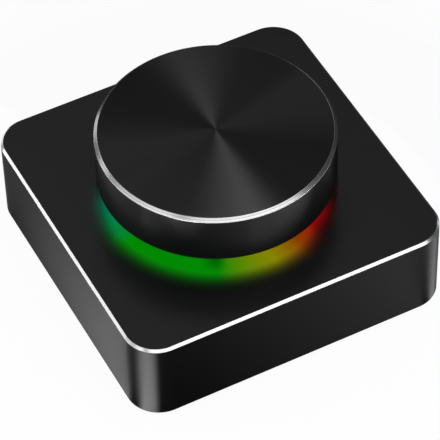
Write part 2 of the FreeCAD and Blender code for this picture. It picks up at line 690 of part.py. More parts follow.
def detent_spring():
    """Ring washer bent down at two sides, with a bump on each that clicks into the rotor's grooves."""
    drop = SPRING_ROOM - SPRING_THICK - DETENT_DEPTH
    z_high = Z_FRAME_UNDER
    z_low = z_high - drop
    reach = SPRING_OUTER_R + SPRING_THICK
    bend = (SPRING_INNER_R + SPRING_FLAT_HALF) / 2
    upper = [(-reach, z_low), (-bend, z_low), (-SPRING_FLAT_HALF, z_high),
             (SPRING_FLAT_HALF, z_high), (bend, z_low), (reach, z_low)]
    corners = [V(x, -reach, z) for x, z in upper]
    corners += [V(x, -reach, z - SPRING_THICK) for x, z in reversed(upper)]
    sheet = Part.Face(Part.makePolygon(corners + corners[:1])).extrude(V(0, 2 * reach, 0))
    washer = sheet.common(ring(SPRING_OUTER_R, SPRING_INNER_R, z_low - SPRING_THICK, z_high))
    bump = detent_wedge(Z_ROTOR_TOP + CONTACT_CLEAR, SPRING_INNER_R + RUN_CLEAR,
                        SPRING_OUTER_R - RUN_CLEAR, z_low - SPRING_THICK)
    return washer.fuse(round_copies(bump, 2)).removeSplitter()


def encoder_wipers():
    """Three legs whose inner ends are springs that rub on the code ring."""
    z_floor = Z_BASE_FLOOR
    z_lift = Z_CODE - CONTACT_CLEAR
    t = CONTACT_THICK
    wipers = []
    for x in wiper_places():
        track = CODE_INNER_R + CODE_TRACK / 2 if x else (CODE_INNER_R + CODE_OUTER_R) / 2
        tip = -math.sqrt(max(track ** 2 - x ** 2, 0))
        heel = tip - (ENC_HALF_Y + tip) / 2
        side_view = [
            (-ENC_HALF_Y - LEG_THICK, Z_LEG_END),
            (-ENC_HALF_Y, Z_LEG_END),
            (-ENC_HALF_Y, z_floor),
            (heel, z_floor),
            (tip, z_lift - t),
            (tip, z_lift),
            (heel, z_floor + t),
            (-ENC_HALF_Y - LEG_THICK, z_floor + t),
        ]
        wipers.append(plate_profile(side_view, CONTACT_WIDTH, x))
    return wipers


def switch_contacts():
    """Two legs that end under the switch dome."""
    t = CONTACT_THICK
    contacts = []
    for x in switch_places():
        side_view = [
            (ENC_HALF_Y + LEG_THICK, Z_LEG_END),
            (ENC_HALF_Y, Z_LEG_END),
            (ENC_HALF_Y, Z_SWITCH_FLOOR),
            (0, Z_SWITCH_FLOOR),
            (0, Z_SWITCH_FLOOR + t),
            (ENC_HALF_Y + LEG_THICK, Z_SWITCH_FLOOR + t),
        ]
        contacts.append(plate_profile(side_view, CONTACT_WIDTH, x))
    return contacts


def switch_dome():
    """Snap dome: the dial's click, and the spring that lifts it again."""
    top = DOME_R * DOME_TOP_SHARE
    return turned([
        (0, Z_DOME + DOME_RISE),
        (top, Z_DOME + DOME_RISE),
        (DOME_R - DOME_THICK, Z_DOME),
        (DOME_R, Z_DOME),
        (top, Z_DOME + DOME_RISE + DOME_THICK),
        (0, Z_DOME + DOME_RISE + DOME_THICK),
    ])


def detent_wedge(z_ridge, r_near, r_far, z_top=None):
    """V-shaped bar along +X whose sides cross the level z_ridge at the groove's width."""
    slope = math.tan(math.radians(DETENT_HALF_ANGLE))
    z_top = z_ridge if z_top is None else z_top
    half = (z_top - z_ridge + DETENT_DEPTH) * slope
    corners = [V(r_near, 0, z_ridge - DETENT_DEPTH), V(r_near, half, z_top),
               V(r_near, -half, z_top)]
    return Part.Face(Part.makePolygon(corners + corners[:1])).extrude(V(r_far - r_near, 0, 0))


# ---- encoder: turning pieces ----
def encoder_rotor():
    """Disc that turns with the shaft: keyed bore, grooves for the detent on top, pivot below."""
    rotor = disc(ROTOR_R, Z_ROTOR, Z_ROTOR_TOP).fuse(disc(ROTOR_PIVOT_R, Z_PIVOT, Z_ROTOR))
    z_step = Z_COLLAR - PRESS_TRAVEL - DOME_ROOM / 2
    rotor = rotor.cut(disc(SHAFT_COLLAR_R + ROTOR_WALL_GAP, z_step, Z_ROTOR_TOP))
    rotor = rotor.cut(double_d(SHAFT_KEY_R + RUN_CLEAR, SHAFT_KEY_HALF + RUN_CLEAR,
                               Z_PIVOT, z_step))
    groove = detent_wedge(Z_ROTOR_TOP, SHAFT_COLLAR_R, ROTOR_R - ROTOR_RIM)
    return rotor.cut(round_copies(groove, DETENTS))


def code_ring():
    """Metal track under the rotor: an unbroken ring with one tooth for each click."""
    track_r = CODE_INNER_R + CODE_TRACK
    track = ring(track_r, CODE_INNER_R, Z_CODE, Z_ROTOR)
    half = math.radians(360.0 / DETENTS) / 4
    inner, outer = track_r - CODE_TRACK / 2, CODE_OUTER_R
    corners = [V(r * math.cos(a), r * math.sin(a), Z_CODE)
               for r, a in ((inner, -half), (outer, -half), (outer, half), (inner, half))]
    outline = Part.makePolygon(corners + corners[:1])
    tooth = Part.Face(outline).extrude(V(0, 0, CODE_THICK))
    return track.fuse(round_copies(tooth, DETENTS)).removeSplitter()


# ---- dial: turns and presses ----
def encoder_shaft():
    """Round shaft with a flat for the hub, a stop collar, a sliding key and a pin on the dome."""
    z_key_end = Z_PIN + SHAFT_PIN_LENGTH
    shaft = disc(SHAFT_R, Z_COLLAR, Z_SHAFT_TOP)
    shaft = shaft.makeChamfer(SHAFT_TIP_CHAMFER, edges_at(shaft, Z_SHAFT_TOP))
    flat_cut = block(SHAFT_FLAT, SHAFT_R, -SHAFT_R, SHAFT_R,
                     Z_SHAFT_TOP - SHAFT_FLAT_LENGTH, Z_SHAFT_TOP)
    shaft = shaft.cut(flat_cut)
    collar = disc(SHAFT_COLLAR_R, Z_COLLAR, Z_FRAME_UNDER - STOP_CLEAR)
    key = double_d(SHAFT_KEY_R, SHAFT_KEY_HALF, z_key_end, Z_COLLAR)
    pin = disc(SHAFT_PIN_R, Z_PIN, z_key_end)
    pin = pin.makeChamfer(SHAFT_PIN_BEVEL, edges_at(pin, Z_PIN))
    return shaft.fuse([collar, key, pin]).removeSplitter()


def knob_shell():
    """Turned metal cap: flat top, bright chamfer, thin wall, and a socket for the hub inside."""
    inner = KNOB_RADIUS - KNOB_WALL
    socket = HUB_RADIUS + HUB_SOCKET_WALL
    f = KNOB_FOOT_CHAMFER
    b = KNOB_INNER_BEVEL
    return turned([
        (0, Z_KNOB_TOP),
        (KNOB_RADIUS - KNOB_CHAMFER, Z_KNOB_TOP),
        (KNOB_RADIUS, Z_KNOB_TOP - KNOB_CHAMFER),
        (KNOB_RADIUS, Z_KNOB + f),
        (KNOB_RADIUS - f, Z_KNOB),
        (inner + f, Z_KNOB),
        (inner, Z_KNOB + f),
        (inner, Z_KNOB_ROOF - b),
        (inner - b, Z_KNOB_ROOF),
        (socket + b, Z_KNOB_ROOF),
        (socket, Z_KNOB_ROOF - b),
        (socket, Z_HUB),
        (HUB_RADIUS, Z_HUB),
        (HUB_RADIUS, Z_KNOB_ROOF),
        (0, Z_KNOB_ROOF),
    ])


def knob_hub():
    """Moulded hub pressed into the cap: a D-shaped sleeve, a rim, ribs between them and a web on top."""
    sleeve_r = SHAFT_R + HUB_SLEEVE + CLIP_THICK
    rim = ring(HUB_RADIUS, HUB_RADIUS - HUB_RIM, Z_HUB, Z_KNOB_ROOF)
    sleeve = disc(sleeve_r, Z_HUB, Z_KNOB_ROOF)
    web = disc(HUB_RADIUS, Z_KNOB_ROOF - HUB_WEB, Z_KNOB_ROOF)
    rib = block(sleeve_r - HUB_SLEEVE / 2, HUB_RADIUS - HUB_RIM / 2,
                -HUB_RIB_WIDTH / 2, HUB_RIB_WIDTH / 2, Z_HUB, Z_KNOB_ROOF)
    hub = rim.fuse([sleeve, web] + round_copies(rib, HUB_RIBS)).removeSplitter()
    hub = hub.cut(disc(SHAFT_R, Z_HUB, Z_SHAFT_TOP - SHAFT_FLAT_LENGTH))
    bore = single_d(SHAFT_R, SHAFT_FLAT + CLIP_THICK, Z_SHAFT_TOP - SHAFT_FLAT_LENGTH,
                    Z_SHAFT_TOP)
    return hub.cut(bore)


def hub_clip():
    """Flat spring between the hub and the shaft's flat, which takes up the play."""
    z_low = Z_SHAFT_TOP - SHAFT_FLAT_LENGTH
    return block(SHAFT_FLAT, SHAFT_FLAT + CLIP_THICK, -clip_half(), clip_half(),
                 z_low, z_low + CLIP_HEIGHT)


def clip_half():
    """Half the clip's width, kept inside the round bore."""
    chord = math.sqrt(SHAFT_R ** 2 - (SHAFT_FLAT + CLIP_THICK) ** 2)
    return min(CLIP_WIDTH / 2, chord)


PIECES = {
    "housing": housing,
    "light_guide": light_guide,
    "circuit_board": circuit_board,
    "board_screws": board_screws,
    "led_packages": led_packages,
    "led_lenses": led_lenses,
    "chip_capacitors": chip_capacitors,
    "chip_resistors": chip_resistors,
    "crystal": crystal,
    "controller_chip": controller_chip,
    "controller_leads": controller_leads,
    "usb_shell": usb_shell,
    "usb_tongue": usb_tongue,
    "usb_contacts": usb_contacts,
    "ballast_plate": ballast_plate,
    "bottom_cover": bottom_cover,
    "cover_screws": cover_screws,
    "rubber_pad": rubber_pad,
    "encoder_base": encoder_base,
    "encoder_frame": encoder_frame,
    "encoder_bushing": encoder_bushing,
    "encoder_washer": encoder_washer,
    "encoder_nut": encoder_nut,
    "detent_spring": detent_spring,
    "encoder_wipers": encoder_wipers,
    "switch_contacts": switch_contacts,
    "switch_dome": switch_dome,
    "encoder_rotor": encoder_rotor,
    "code_ring": code_ring,
    "encoder_shaft": encoder_shaft,
    "knob_shell": knob_shell,
    "knob_hub": knob_hub,
    "hub_clip": hub_clip,
}


def solids_of(made):
    """The solids of one shape, or of a list of shapes."""
    shapes = made if isinstance(made, list) else [made]
    return [solid for shape in shapes for solid in shape.Solids]


def export(folder="parts"):
    os.makedirs(folder, exist_ok=True)
    for name, build in PIECES.items():
        solids = solids_of(build())
        shape = solids[0] if len(solids) == 1 else Part.makeCompound(solids)
        volume = sum(solid.Volume for solid in solids)
        print(f"{name}: {len(solids)} solids, {volume:.1f} mm3, valid {shape.isValid()}")
        shape.exportStep(os.path.join(folder, name + ".step"))


export()
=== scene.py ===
# %% [markdown]
# # A volume knob for a desk, dressed in Blender
#
# The real thing is a square aluminium base with a big turning dial on it. Both were milled or turned
# from solid metal, dyed black, and then cut once more with a diamond tool along the top edges, which
# leaves a bright line of bare metal. Coloured light comes out from under the dial.
#
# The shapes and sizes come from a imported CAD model, the frame. This lesson loads it, measures it, and
# replaces the pieces whose surfaces the eye rests on by finer meshes. All other pieces stay as they
# are and get a finish. Everything is in metres, in the frame's own coordinates.

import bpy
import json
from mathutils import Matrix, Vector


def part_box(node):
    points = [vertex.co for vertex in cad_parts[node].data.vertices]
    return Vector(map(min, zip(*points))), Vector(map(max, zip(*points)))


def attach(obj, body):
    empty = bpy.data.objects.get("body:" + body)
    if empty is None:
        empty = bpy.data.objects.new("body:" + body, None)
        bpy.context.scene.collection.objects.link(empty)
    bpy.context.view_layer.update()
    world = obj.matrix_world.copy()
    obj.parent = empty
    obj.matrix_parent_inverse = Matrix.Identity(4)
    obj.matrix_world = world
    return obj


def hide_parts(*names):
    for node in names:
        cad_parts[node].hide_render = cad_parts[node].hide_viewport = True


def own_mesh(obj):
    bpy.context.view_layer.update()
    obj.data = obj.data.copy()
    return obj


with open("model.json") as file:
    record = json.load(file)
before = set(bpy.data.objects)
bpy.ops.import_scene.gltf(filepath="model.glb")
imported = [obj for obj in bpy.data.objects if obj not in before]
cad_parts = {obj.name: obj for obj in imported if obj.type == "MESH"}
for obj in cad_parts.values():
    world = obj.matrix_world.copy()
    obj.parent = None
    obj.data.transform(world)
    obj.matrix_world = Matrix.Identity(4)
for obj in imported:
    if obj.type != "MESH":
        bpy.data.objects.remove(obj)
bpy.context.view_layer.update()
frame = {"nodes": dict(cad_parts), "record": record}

# %% Modules and units
import json
import math

import bmesh
import bpy
from mathutils import Matrix, Vector

MM = 0.001
Z_AXIS = Vector((0, 0, 1))
scene = bpy.context.scene

# %% [markdown]
# ## Sizes come from the frame
#
# A size that a box round a piece can give is read from the frame, so the looks follow the
# construction when it changes. What a box can't tell, such as a chamfer or a wall, is named here.

# %% Measure the base
base_low, base_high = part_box("housing")
cover_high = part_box("bottom_cover")[1]
HALF_SIDE = base_high.x
Z_METAL = base_low.z
Z_DECK = base_high.z
Z_COVER_TOP = cover_high.z
CORNER_R = 7.0 * MM
CORNER_CENTRE = HALF_SIDE - CORNER_R
EDGE_CHAMFER = 0.5 * MM
FOOT_CHAMFER = 0.2 * MM
WALL = 3.4 * MM
DECK_THICK = 2.4 * MM
COVER_FIT = 0.15 * MM
Z_DECK_UNDER = Z_DECK - DECK_THICK
print("base: %.1f mm wide, deck at %.1f mm" % (2 * HALF_SIDE / MM, Z_DECK / MM))

# %% Measure the dial
dial_low, dial_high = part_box("knob_shell")
hub_low, hub_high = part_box("knob_hub")
DIAL_R = dial_high.x
Z_DIAL = dial_low.z
Z_DIAL_TOP = dial_high.z
Z_ROOF = hub_high.z
Z_HUB = hub_low.z
HUB_R = hub_high.x
DIAL_CHAMFER = 0.72 * MM
DIAL_FOOT = 0.25 * MM
DIAL_WALL = 2.2 * MM
DIAL_BEVEL = 1.2 * MM
HUB_SOCKET_WALL = 1.6 * MM
EDGE_BREAK = 0.07 * MM
EDGE_SINK = EDGE_BREAK / 3
OPENING_FIT = 0.1 * MM
OPENING_R = DIAL_R + OPENING_FIT
print("dial: %.1f mm across, top at %.1f mm" % (2 * DIAL_R / MM, Z_DIAL_TOP / MM))

# %% [markdown]
# ## The camera
#
# A product is usually shown with a long lens from well above the desk, which keeps the square base
# nearly free of perspective. A camera is placed by turning its three axes: `back` points from
# the object to the lens, `right` and `up` span the picture. Written like this, each number has a
# meaning: how far round, how high, how much tilt, how far away.

# %% Place the camera
PICTURE_SIDE = 440
FOCAL_LENGTH = 3027.8
SENSOR = 36.0
YAW = math.radians(-26.311)
PITCH = math.radians(48.302)
ROLL = math.radians(-1.641)
DISTANCE = 631.8 * MM
ASIDE = 0.23 * MM
LIFT = 4.86 * MM
CLIP_START = 0.01


def placed(place, across, upright, towards):
    """Matrix that puts an object at a place, with its X, Y and Z axes in three directions."""
    return Matrix.Translation(place) @ Matrix((across, upright, towards)).transposed().to_4x4()


back = Vector((math.sin(YAW) * math.cos(PITCH), -math.cos(YAW) * math.cos(PITCH), math.sin(PITCH)))
level_right = Vector((math.cos(YAW), math.sin(YAW), 0))
level_up = back.cross(level_right)
right = level_right * math.cos(ROLL) + level_up * math.sin(ROLL)
up = level_up * math.cos(ROLL) - level_right * math.sin(ROLL)
eye = back * DISTANCE + right * ASIDE + up * LIFT + Z_AXIS * Z_METAL

camera_data = bpy.data.cameras.new("product_camera")
camera_data.sensor_width = SENSOR
camera_data.lens = FOCAL_LENGTH / PICTURE_SIDE * SENSOR
camera_data.clip_start = CLIP_START
camera = bpy.data.objects.new("product_camera", camera_data)
scene.collection.objects.link(camera)
camera.matrix_world = placed(eye, right, up, back)
scene.camera = camera
print("camera: %.0f mm lens, %.0f mm away" % (camera_data.lens, DISTANCE / MM))

# %% [markdown]
# ## Helpers for materials
#
# A shader graph is easier to read as a list of nodes than as a picture. `add` makes one node, sets its
# options, and then fills or links its inputs. Colours are written as the hex values a painter would
# pick on a screen, and turned to linear light once, here. Most finishes end in the same two steps: a
# pattern mixes two close tones, and the same pattern is raised a little. `toned` does both. The
# pattern is a noise with spots of a real size, from `mottle`, or on round pieces it follows the axis,
# for which `polar` gives a point's direction, distance and height.

# %% Helpers: colour, node, material
def linear(code):
    """'#rrggbb' as four linear values, by the sRGB curve."""
    channels = [int(code[i:i + 2], 16) / 255 for i in (1, 3, 5)]
    low_end, slope = 0.04045, 12.92
    curve = [c / slope if c <= low_end else ((c + 0.055) / 1.055) ** 2.4 for c in channels]
    return (*curve, 1.0)


def add(tree, kind, settings=None, inputs=None):
    """One new shader node (kind: its type without "ShaderNode"). An input may be given an output."""
    node = tree.nodes.new("ShaderNode" + kind)
    for name, value in (settings or {}).items():
        setattr(node, name, value)
    for key, value in (inputs or {}).items():
        socket = node.inputs[key]
        if isinstance(value, bpy.types.NodeSocket):
            tree.links.new(value, socket)
        else:
            socket.default_value = value
    return node


def start_material(name, values, follows_axis=False):
    """A material with its shader's own sockets set. Its reflections can follow the axis."""
    material = bpy.data.materials.new(name)
    material.use_nodes = True
    tree = material.node_tree
    shader = tree.nodes["Principled BSDF"]
    for key, value in values.items():
        shader.inputs[key].default_value = value
    if follows_axis:
        round_axis = add(tree, "Tangent", {"direction_type": "RADIAL", "axis": "Z"})
        tree.links.new(round_axis.outputs["Tangent"], shader.inputs["Tangent"])
    return material, tree, shader


def toned(tree, shader, pattern, dark, light, strength=0.0, height=0.0):
    """Colours a surface between two tones by a pattern, and raises the pattern by a height."""
    tones = [linear(tone) if isinstance(tone, str) else tone for tone in (dark, light)]
    tint = add(tree, "Mix", {"data_type": "RGBA"}, {"Factor": pattern, "A": tones[0], "B": tones[1]})
    tree.links.new(tint.outputs["Result"], shader.inputs["Base Color"])
    if height:
        relief = add(tree, "Bump", None,
                     {"Height": pattern, "Strength": strength, "Distance": height})
        tree.links.new(relief.outputs["Normal"], shader.inputs["Normal"])


def mottle(tree, size, detail=3.0, roughness=0.5, stretch=1):
    """Noise in the object's own space, with spots of a size that are drawn out along X."""
    place = add(tree, "TexCoord")
    squeezed = add(tree, "VectorMath", {"operation": "MULTIPLY"},
                   {0: place.outputs["Object"], 1: (1 / stretch, 1, 1)})
    return add(tree, "TexNoise", None, {"Vector": squeezed.outputs[0], "Scale": 1 / size,
                                        "Detail": detail, "Roughness": roughness}).outputs["Fac"]


def polar(tree):
    """Direction round the axis, distance from it, and height, in the object's own space."""
    place = add(tree, "TexCoord")
    axes = add(tree, "SeparateXYZ", inputs={"Vector": place.outputs["Object"]})
    azimuth = add(tree, "Math", {"operation": "ARCTAN2"},
                  {0: axes.outputs["Y"], 1: axes.outputs["X"]})
    flat = add(tree, "CombineXYZ", inputs={"X": axes.outputs["X"], "Y": axes.outputs["Y"]})
    radius = add(tree, "VectorMath", {"operation": "LENGTH"}, {0: flat.outputs[0]})
    return azimuth.outputs[0], radius.outputs["Value"], axes.outputs["Z"]


# %% [markdown]
# ## The colour of the light
#
# Twelve small lights stand in a ring on the circuit board and show the volume as a lit arc, from teal
# over green and yellow to red, with the rear ones off. A smoked plastic disc spreads their light, and
# on the deck the glow ends softly within a few millimetres. Real light would need many samples to look
# smooth in so flat a gap, so the glow is painted into the emission of the two surfaces that carry it.
# The direction round the axis gives its hue and how far out it starts to fade. The distance from the
# axis gives its strength. A small spot at the dial's foot is painted dimmer, a painted shade in the
# painted glow. All of it is in the object's own space, so it stays put in every view.

# %% Hues of the lit arc, and how the glow fades
OFF, TEAL, GREEN, YELLOW = "#000000", "#007860", "#008800", "#848400"
ORANGE, RED, EMBER = "#883c00", "#9c0808", "#440808"
ARC_HUES = {
    # compass angle: colour
    152: OFF, 166: TEAL, 195: GREEN, 244: GREEN, 270: YELLOW, 287: ORANGE, 300: RED, 310: RED,
    320: EMBER, 334: OFF,
}
FADE_STARTS = {160: 22.0, 190: 24.0, 240: 24.5, 285: 24.0, 300: 22.0, 320: 21.5}  # millimetres
FADE_LOW, FADE_SPAN = 21.0, 4.0
GLOW_REACH = 1.95 * MM
GLOW_POWER = 1.7
# painted shade: a small spot at the dial's foot where the glow is painted dimmer
SHADE_SPOT_ANGLE, SHADE_SPOT_HALF = 241.5, 8.0
SHADE_SPOT_NEAR, SHADE_SPOT_FAR = 21.6 * MM, 25.2 * MM
SHADE_SPOT_DEPTH = 0.5


def by_angle(tree, share, table):
    """Ramp round the circle from a table of compass angles and colours."""
    ramp = add(tree, "ValToRGB", inputs={"Fac": share})
    stops = ramp.color_ramp.elements
    angles = list(table)
    stops[0].position, stops[0].color = angles[0] / 360, table[angles[0]]
    stops[1].position, stops[1].color = angles[-1] / 360, table[angles[-1]]
    for angle in angles[1:-1]:
        stops.new(angle / 360).color = table[angle]
    return ramp.outputs["Color"]


def fading(tree, value, full, none):
    """1 up to the value full, and softly down to 0 at the value none."""
    made = add(tree, "MapRange", {"interpolation_type": "SMOOTHSTEP"},
               {"Value": value, "From Min": full, "From Max": none, "To Min": 1.0, "To Max": 0.0})
    return made.outputs["Result"]


def glow(tree):
    """Adds the glow's nodes to a material and gives the socket with its colour."""
    azimuth, radius, _ = polar(tree)
    turns = add(tree, "Math", {"operation": "DIVIDE"}, {0: azimuth, 1: math.tau})
    share = add(tree, "Math", {"operation": "FRACT"}, {0: turns.outputs[0]})
    hue = by_angle(tree, share.outputs[0], {k: linear(code) for k, code in ARC_HUES.items()})
    starts = {k: ((r - FADE_LOW) / FADE_SPAN,) * 3 + (1.0,) for k, r in FADE_STARTS.items()}
    start = add(tree, "Math", {"operation": "MULTIPLY_ADD"},
                {0: by_angle(tree, share.outputs[0], starts), 1: FADE_SPAN * MM, 2: FADE_LOW * MM})
    strength = radius
    for operation, value in (("SUBTRACT", start.outputs[0]), ("MAXIMUM", 0.0), ("DIVIDE", GLOW_REACH),
                             ("POWER", GLOW_POWER), ("MULTIPLY", -1.0), ("EXPONENT", 0.0)):
        strength = add(tree, "Math", {"operation": operation}, {0: strength, 1: value}).outputs[0]
    # painted shade: the glow is painted dimmer in a small spot at the dial's foot
    aside = add(tree, "Math", {"operation": "SUBTRACT"}, {0: share.outputs[0], 1: SHADE_SPOT_ANGLE / 360})
    beside = add(tree, "Math", {"operation": "ABSOLUTE"}, {0: aside.outputs[0]})
    shade_spot = add(tree, "Math", {"operation": "MULTIPLY"},
                {0: fading(tree, beside.outputs[0], 0.0, SHADE_SPOT_HALF / 360),
                 1: fading(tree, radius, SHADE_SPOT_NEAR, SHADE_SPOT_FAR)})
    left_over = add(tree, "Math", {"operation": "MULTIPLY_ADD"},
                    {0: shade_spot.outputs[0], 1: -SHADE_SPOT_DEPTH, 2: 1.0})
    dimmed = add(tree, "Math", {"operation": "MULTIPLY"}, {0: strength, 1: left_over.outputs[0]})
    colour = add(tree, "VectorMath", {"operation": "SCALE"}, {0: hue, "Scale": dimmed.outputs[0]})
    return colour.outputs["Vector"]


print("glow: %d hues, fades over about %.1f mm" % (len(ARC_HUES), 2 * GLOW_REACH / MM))

# %% [markdown]
# ## Black anodised aluminium, bead-blasted
#
# Blasting with glass beads leaves a fine, even grain. The oxide that grows on it is glass-like and
# holds the dye, so under light it behaves like a dark dielectric and not like a metal: hardly any
# colour of its own, and a soft reflection that grows towards a low angle. The grain of about 0.1 mm
# is too fine to show, so it is drawn at 0.3 mm.

# %% Material of the base
GRAIN = 0.3 * MM
GRAIN_DEPTH = 0.01 * MM


def blasted_metal(name, values, follows_axis=False):
    """Even, fine-grained black surface of the base."""
    material, tree, shader = start_material(name, values, follows_axis)
    toned(tree, shader, mottle(tree, GRAIN, roughness=0.6), "#050506", "#0a0a0b",
          strength=0.15, height=GRAIN_DEPTH)
    return material, tree, shader


blasted_deck, tree, shader = blasted_metal("black_anodised_aluminium_blasted_deck", {
    "IOR": 1.5, "Roughness": 0.27, "Emission Strength": 1.0,
})
tree.links.new(glow(tree), shader.inputs["Emission Color"])
blasted_wall, _, _ = blasted_metal("black_anodised_aluminium_milled_wall", {
    "IOR": 1.12, "Roughness": 0.42, "Anisotropic": 0.85, "Anisotropic Rotation": 0.25,
}, follows_axis=True)
print("materials:", blasted_deck.name, blasted_wall.name)

# %% [markdown]
# ## Black anodised aluminium, turned on a lathe
#
# The tool leaves rings so fine that they can't be told apart. Each ring is a tiny cylinder, so light
# spreads across the rings and hardly along them, and the top shows rays instead of a round
# highlight. The shader does this with anisotropy: the tangent runs round the axis, and a quarter of a
# turn of rotation puts the wide direction across it. Rings of 0.05 mm are drawn 0.35 mm wide.

# %% Material of the dial
RING_PITCH = 0.35 * MM
RING_DEPTH = 0.01 * MM


def turned_metal(name, values, dark, light):
    """Lathe-turned surface: fine rings round the axis, in its colour, relief and reflection."""
    material, tree, shader = start_material(name, values, follows_axis=True)
    _, radius, height = polar(tree)
    along = add(tree, "Math", {"operation": "ADD"}, {0: radius, 1: height})
    rings = add(tree, "TexNoise", {"noise_dimensions": "1D"},
                {"W": along.outputs[0], "Scale": 1 / RING_PITCH, "Detail": 2.0})
    toned(tree, shader, rings.outputs["Fac"], dark, light, strength=0.1, height=RING_DEPTH)
    return material


turned_top = turned_metal("black_anodised_aluminium_turned_face", {
    "IOR": 1.47, "Roughness": 0.33, "Anisotropic": 1.0, "Anisotropic Rotation": 0.25,
}, "#050506", "#08080a")
# The wall's ring tones are real marks, but their level is lighter than the face's: painted light that
# brightens the dial's wall.
turned_side = turned_metal("black_anodised_aluminium_turned_wall", {
    "IOR": 1.22, "Roughness": 0.33, "Anisotropic": 0.8, "Anisotropic Rotation": 0.25,
}, "#0c0c0d", "#121213")
print("materials:", turned_top.name, turned_side.name)

# %% [markdown]
# ## Bare aluminium, diamond-cut
#
# After dyeing, a diamond tool takes off the edge. What is left is bare metal, nearly white, so
# Metallic is 1 and the colour is the reflection's own colour. The base's edge was cut by a fast mill
# and has slanted marks. The dial's edge was turned, and rings run round it, in fact one thread with a
# very low lead. The dial's edge is painted darker than the base's: painted shade that tones down its
# reflections. Marks of 0.1 mm are drawn 0.3 mm wide.

# %% Materials of the cut edges
CUT_PITCH = 0.3 * MM
MARK_DEPTH = 0.02 * MM


def cut_metal(name, dark, light, round_share, outward_share, climb):
    """Bright metal with marks across its edge (round_share 1) or along it (outward_share 1)."""
    material, tree, shader = start_material(name, {
        "Metallic": 1.0, "Roughness": 0.25, "Anisotropic": 0.3,
    })
    azimuth, radius, height = polar(tree)
    spots = add(tree, "CombineXYZ", None, {"X": azimuth, "Y": radius, "Z": height})
    path = add(tree, "VectorMath", {"operation": "DOT_PRODUCT"},
               {0: spots.outputs["Vector"], 1: (round_share * DIAL_R, outward_share, climb)})
    marks = add(tree, "TexNoise", {"noise_dimensions": "1D"},
                {"W": path.outputs["Value"], "Scale": 1 / CUT_PITCH, "Detail": 2.0})
    toned(tree, shader, marks.outputs["Fac"], dark, light, strength=0.2, height=MARK_DEPTH)
    return material


milled_edge = cut_metal("bare_aluminium_diamond_milled", "#ececed", "#fcfcfc", 1, 0, 0.7)
# The dial's edge has darker tones than the base's: its rings are real marks, its darker level is
# painted shade that tones down its reflections.
turned_edge = cut_metal("bare_aluminium_diamond_turned", "#9a9a9b", "#f0f0f0", 0.004, 1, 0)
print("materials:", milled_edge.name, turned_edge.name)

# %% [markdown]
# ## Smoked polycarbonate, moulded
#
# The disc under the dial looks black while the lights are off. Its own colour is nearly black, and
# what the eye sees of it is the glow.

# %% Material of the light guide
MIST_SIZE = 2 * MM

smoked, tree, shader = start_material("smoked_polycarbonate_moulded", {
    "IOR": 1.5, "Roughness": 0.3, "Emission Strength": 1.0,
})
toned(tree, shader, mottle(tree, MIST_SIZE, detail=2.0), "#040405", "#070708")
tree.links.new(glow(tree), shader.inputs["Emission Color"])
print("material:", smoked.name)

# %% [markdown]
# ## Moulded plastics and rubber
#
# Plastics differ in gloss and in what is mixed into them. Nylon with glass fibre is matt and flecked,
# acetal is smooth and waxy, the epoxy round a chip is filled with fine silica, and rubber swallows
# light. They share one recipe: two close tones mixed by a noise of the filler's size, and the same
# noise as a faint relief. A mould's texture of 0.05 mm is drawn at 0.2 mm. `FINISHES` keeps each
# material under the name of the slot that it is for.

# %% Materials of the moulded pieces
def moulded(name, dark, light, ior, roughness, fleck, relief):
    """Two tones mixed by a noise, with the noise as relief. Lengths in millimetres."""
    material, tree, shader = start_material(name, {"IOR": ior, "Roughness": roughness})
    toned(tree, shader, mottle(tree, fleck * MM), dark, light, strength=0.3, height=relief * MM)
    return material


MOULDED = {
    # slot: (name, dark tone, light tone, IOR, roughness, fleck, relief)
    "soft_rubber": ("silicone_rubber_black_moulded", "#161616", "#222222", 1.41, 0.85, 0.25, 0.02),
    "black_nylon": ("glass_filled_nylon_black_moulded", "#121214", "#222224", 1.53, 0.55, 0.3, 0.01),
    "white_nylon": ("nylon_white_moulded", "#dcdad2", "#e8e6e0", 1.53, 0.5, 0.4, 0.005),
    "black_acetal": ("acetal_black_turned", "#1a1a1a", "#202020", 1.48, 0.35, 1.5, 0.002),
    "chip_epoxy": ("silica_filled_epoxy_black_moulded", "#1c1c1e", "#2a2a2c", 1.55, 0.6, 0.15, 0.01),
    "led_resin": ("silicone_resin_clear_cast", "#efe6c8", "#f6f0dc", 1.5, 0.12, 1.0, 0.001),
    "ceramic": ("barium_titanate_ceramic_fired", "#8f7a5c", "#a89272", 1.6, 0.55, 0.2, 0.005),
}
FINISHES = {slot: moulded(*values) for slot, values in MOULDED.items()}
print("moulded: %d materials" % len(MOULDED))

# %% [markdown]
# ## Plated and bare metals
#
# All of them are metal to the shader, and differ in colour, gloss and grain. Rolled and drawn parts
# have long fine scratches one way, cast ones an even mottle. The noise is drawn out along X for the
# first kind and left even for the second. It shifts the roughness too, since a scratch is duller.

# %% Materials of the metal pieces
def grained(name, values, dark, light, dull, glossy, grain, stretch, detail=3.0):
    """Grain in colour and gloss, of a width in millimetres, drawn out along X."""
    material, tree, shader = start_material(name, values)
    marks = mottle(tree, grain * MM, detail, stretch=stretch)
    toned(tree, shader, marks, dark, light)
    gloss = add(tree, "MapRange", None, {"Value": marks, "To Min": dull, "To Max": glossy})
    tree.links.new(gloss.outputs["Result"], shader.inputs["Roughness"])
    return material


def metal(name, dark, light, roughness, grain, stretch):
    """Bare or plated metal, a quarter duller in its scratches and a quarter glossier between them."""
    return grained(name, {"Metallic": 1.0}, dark, light, roughness * 1.25, roughness * 0.75,
                   grain, stretch)


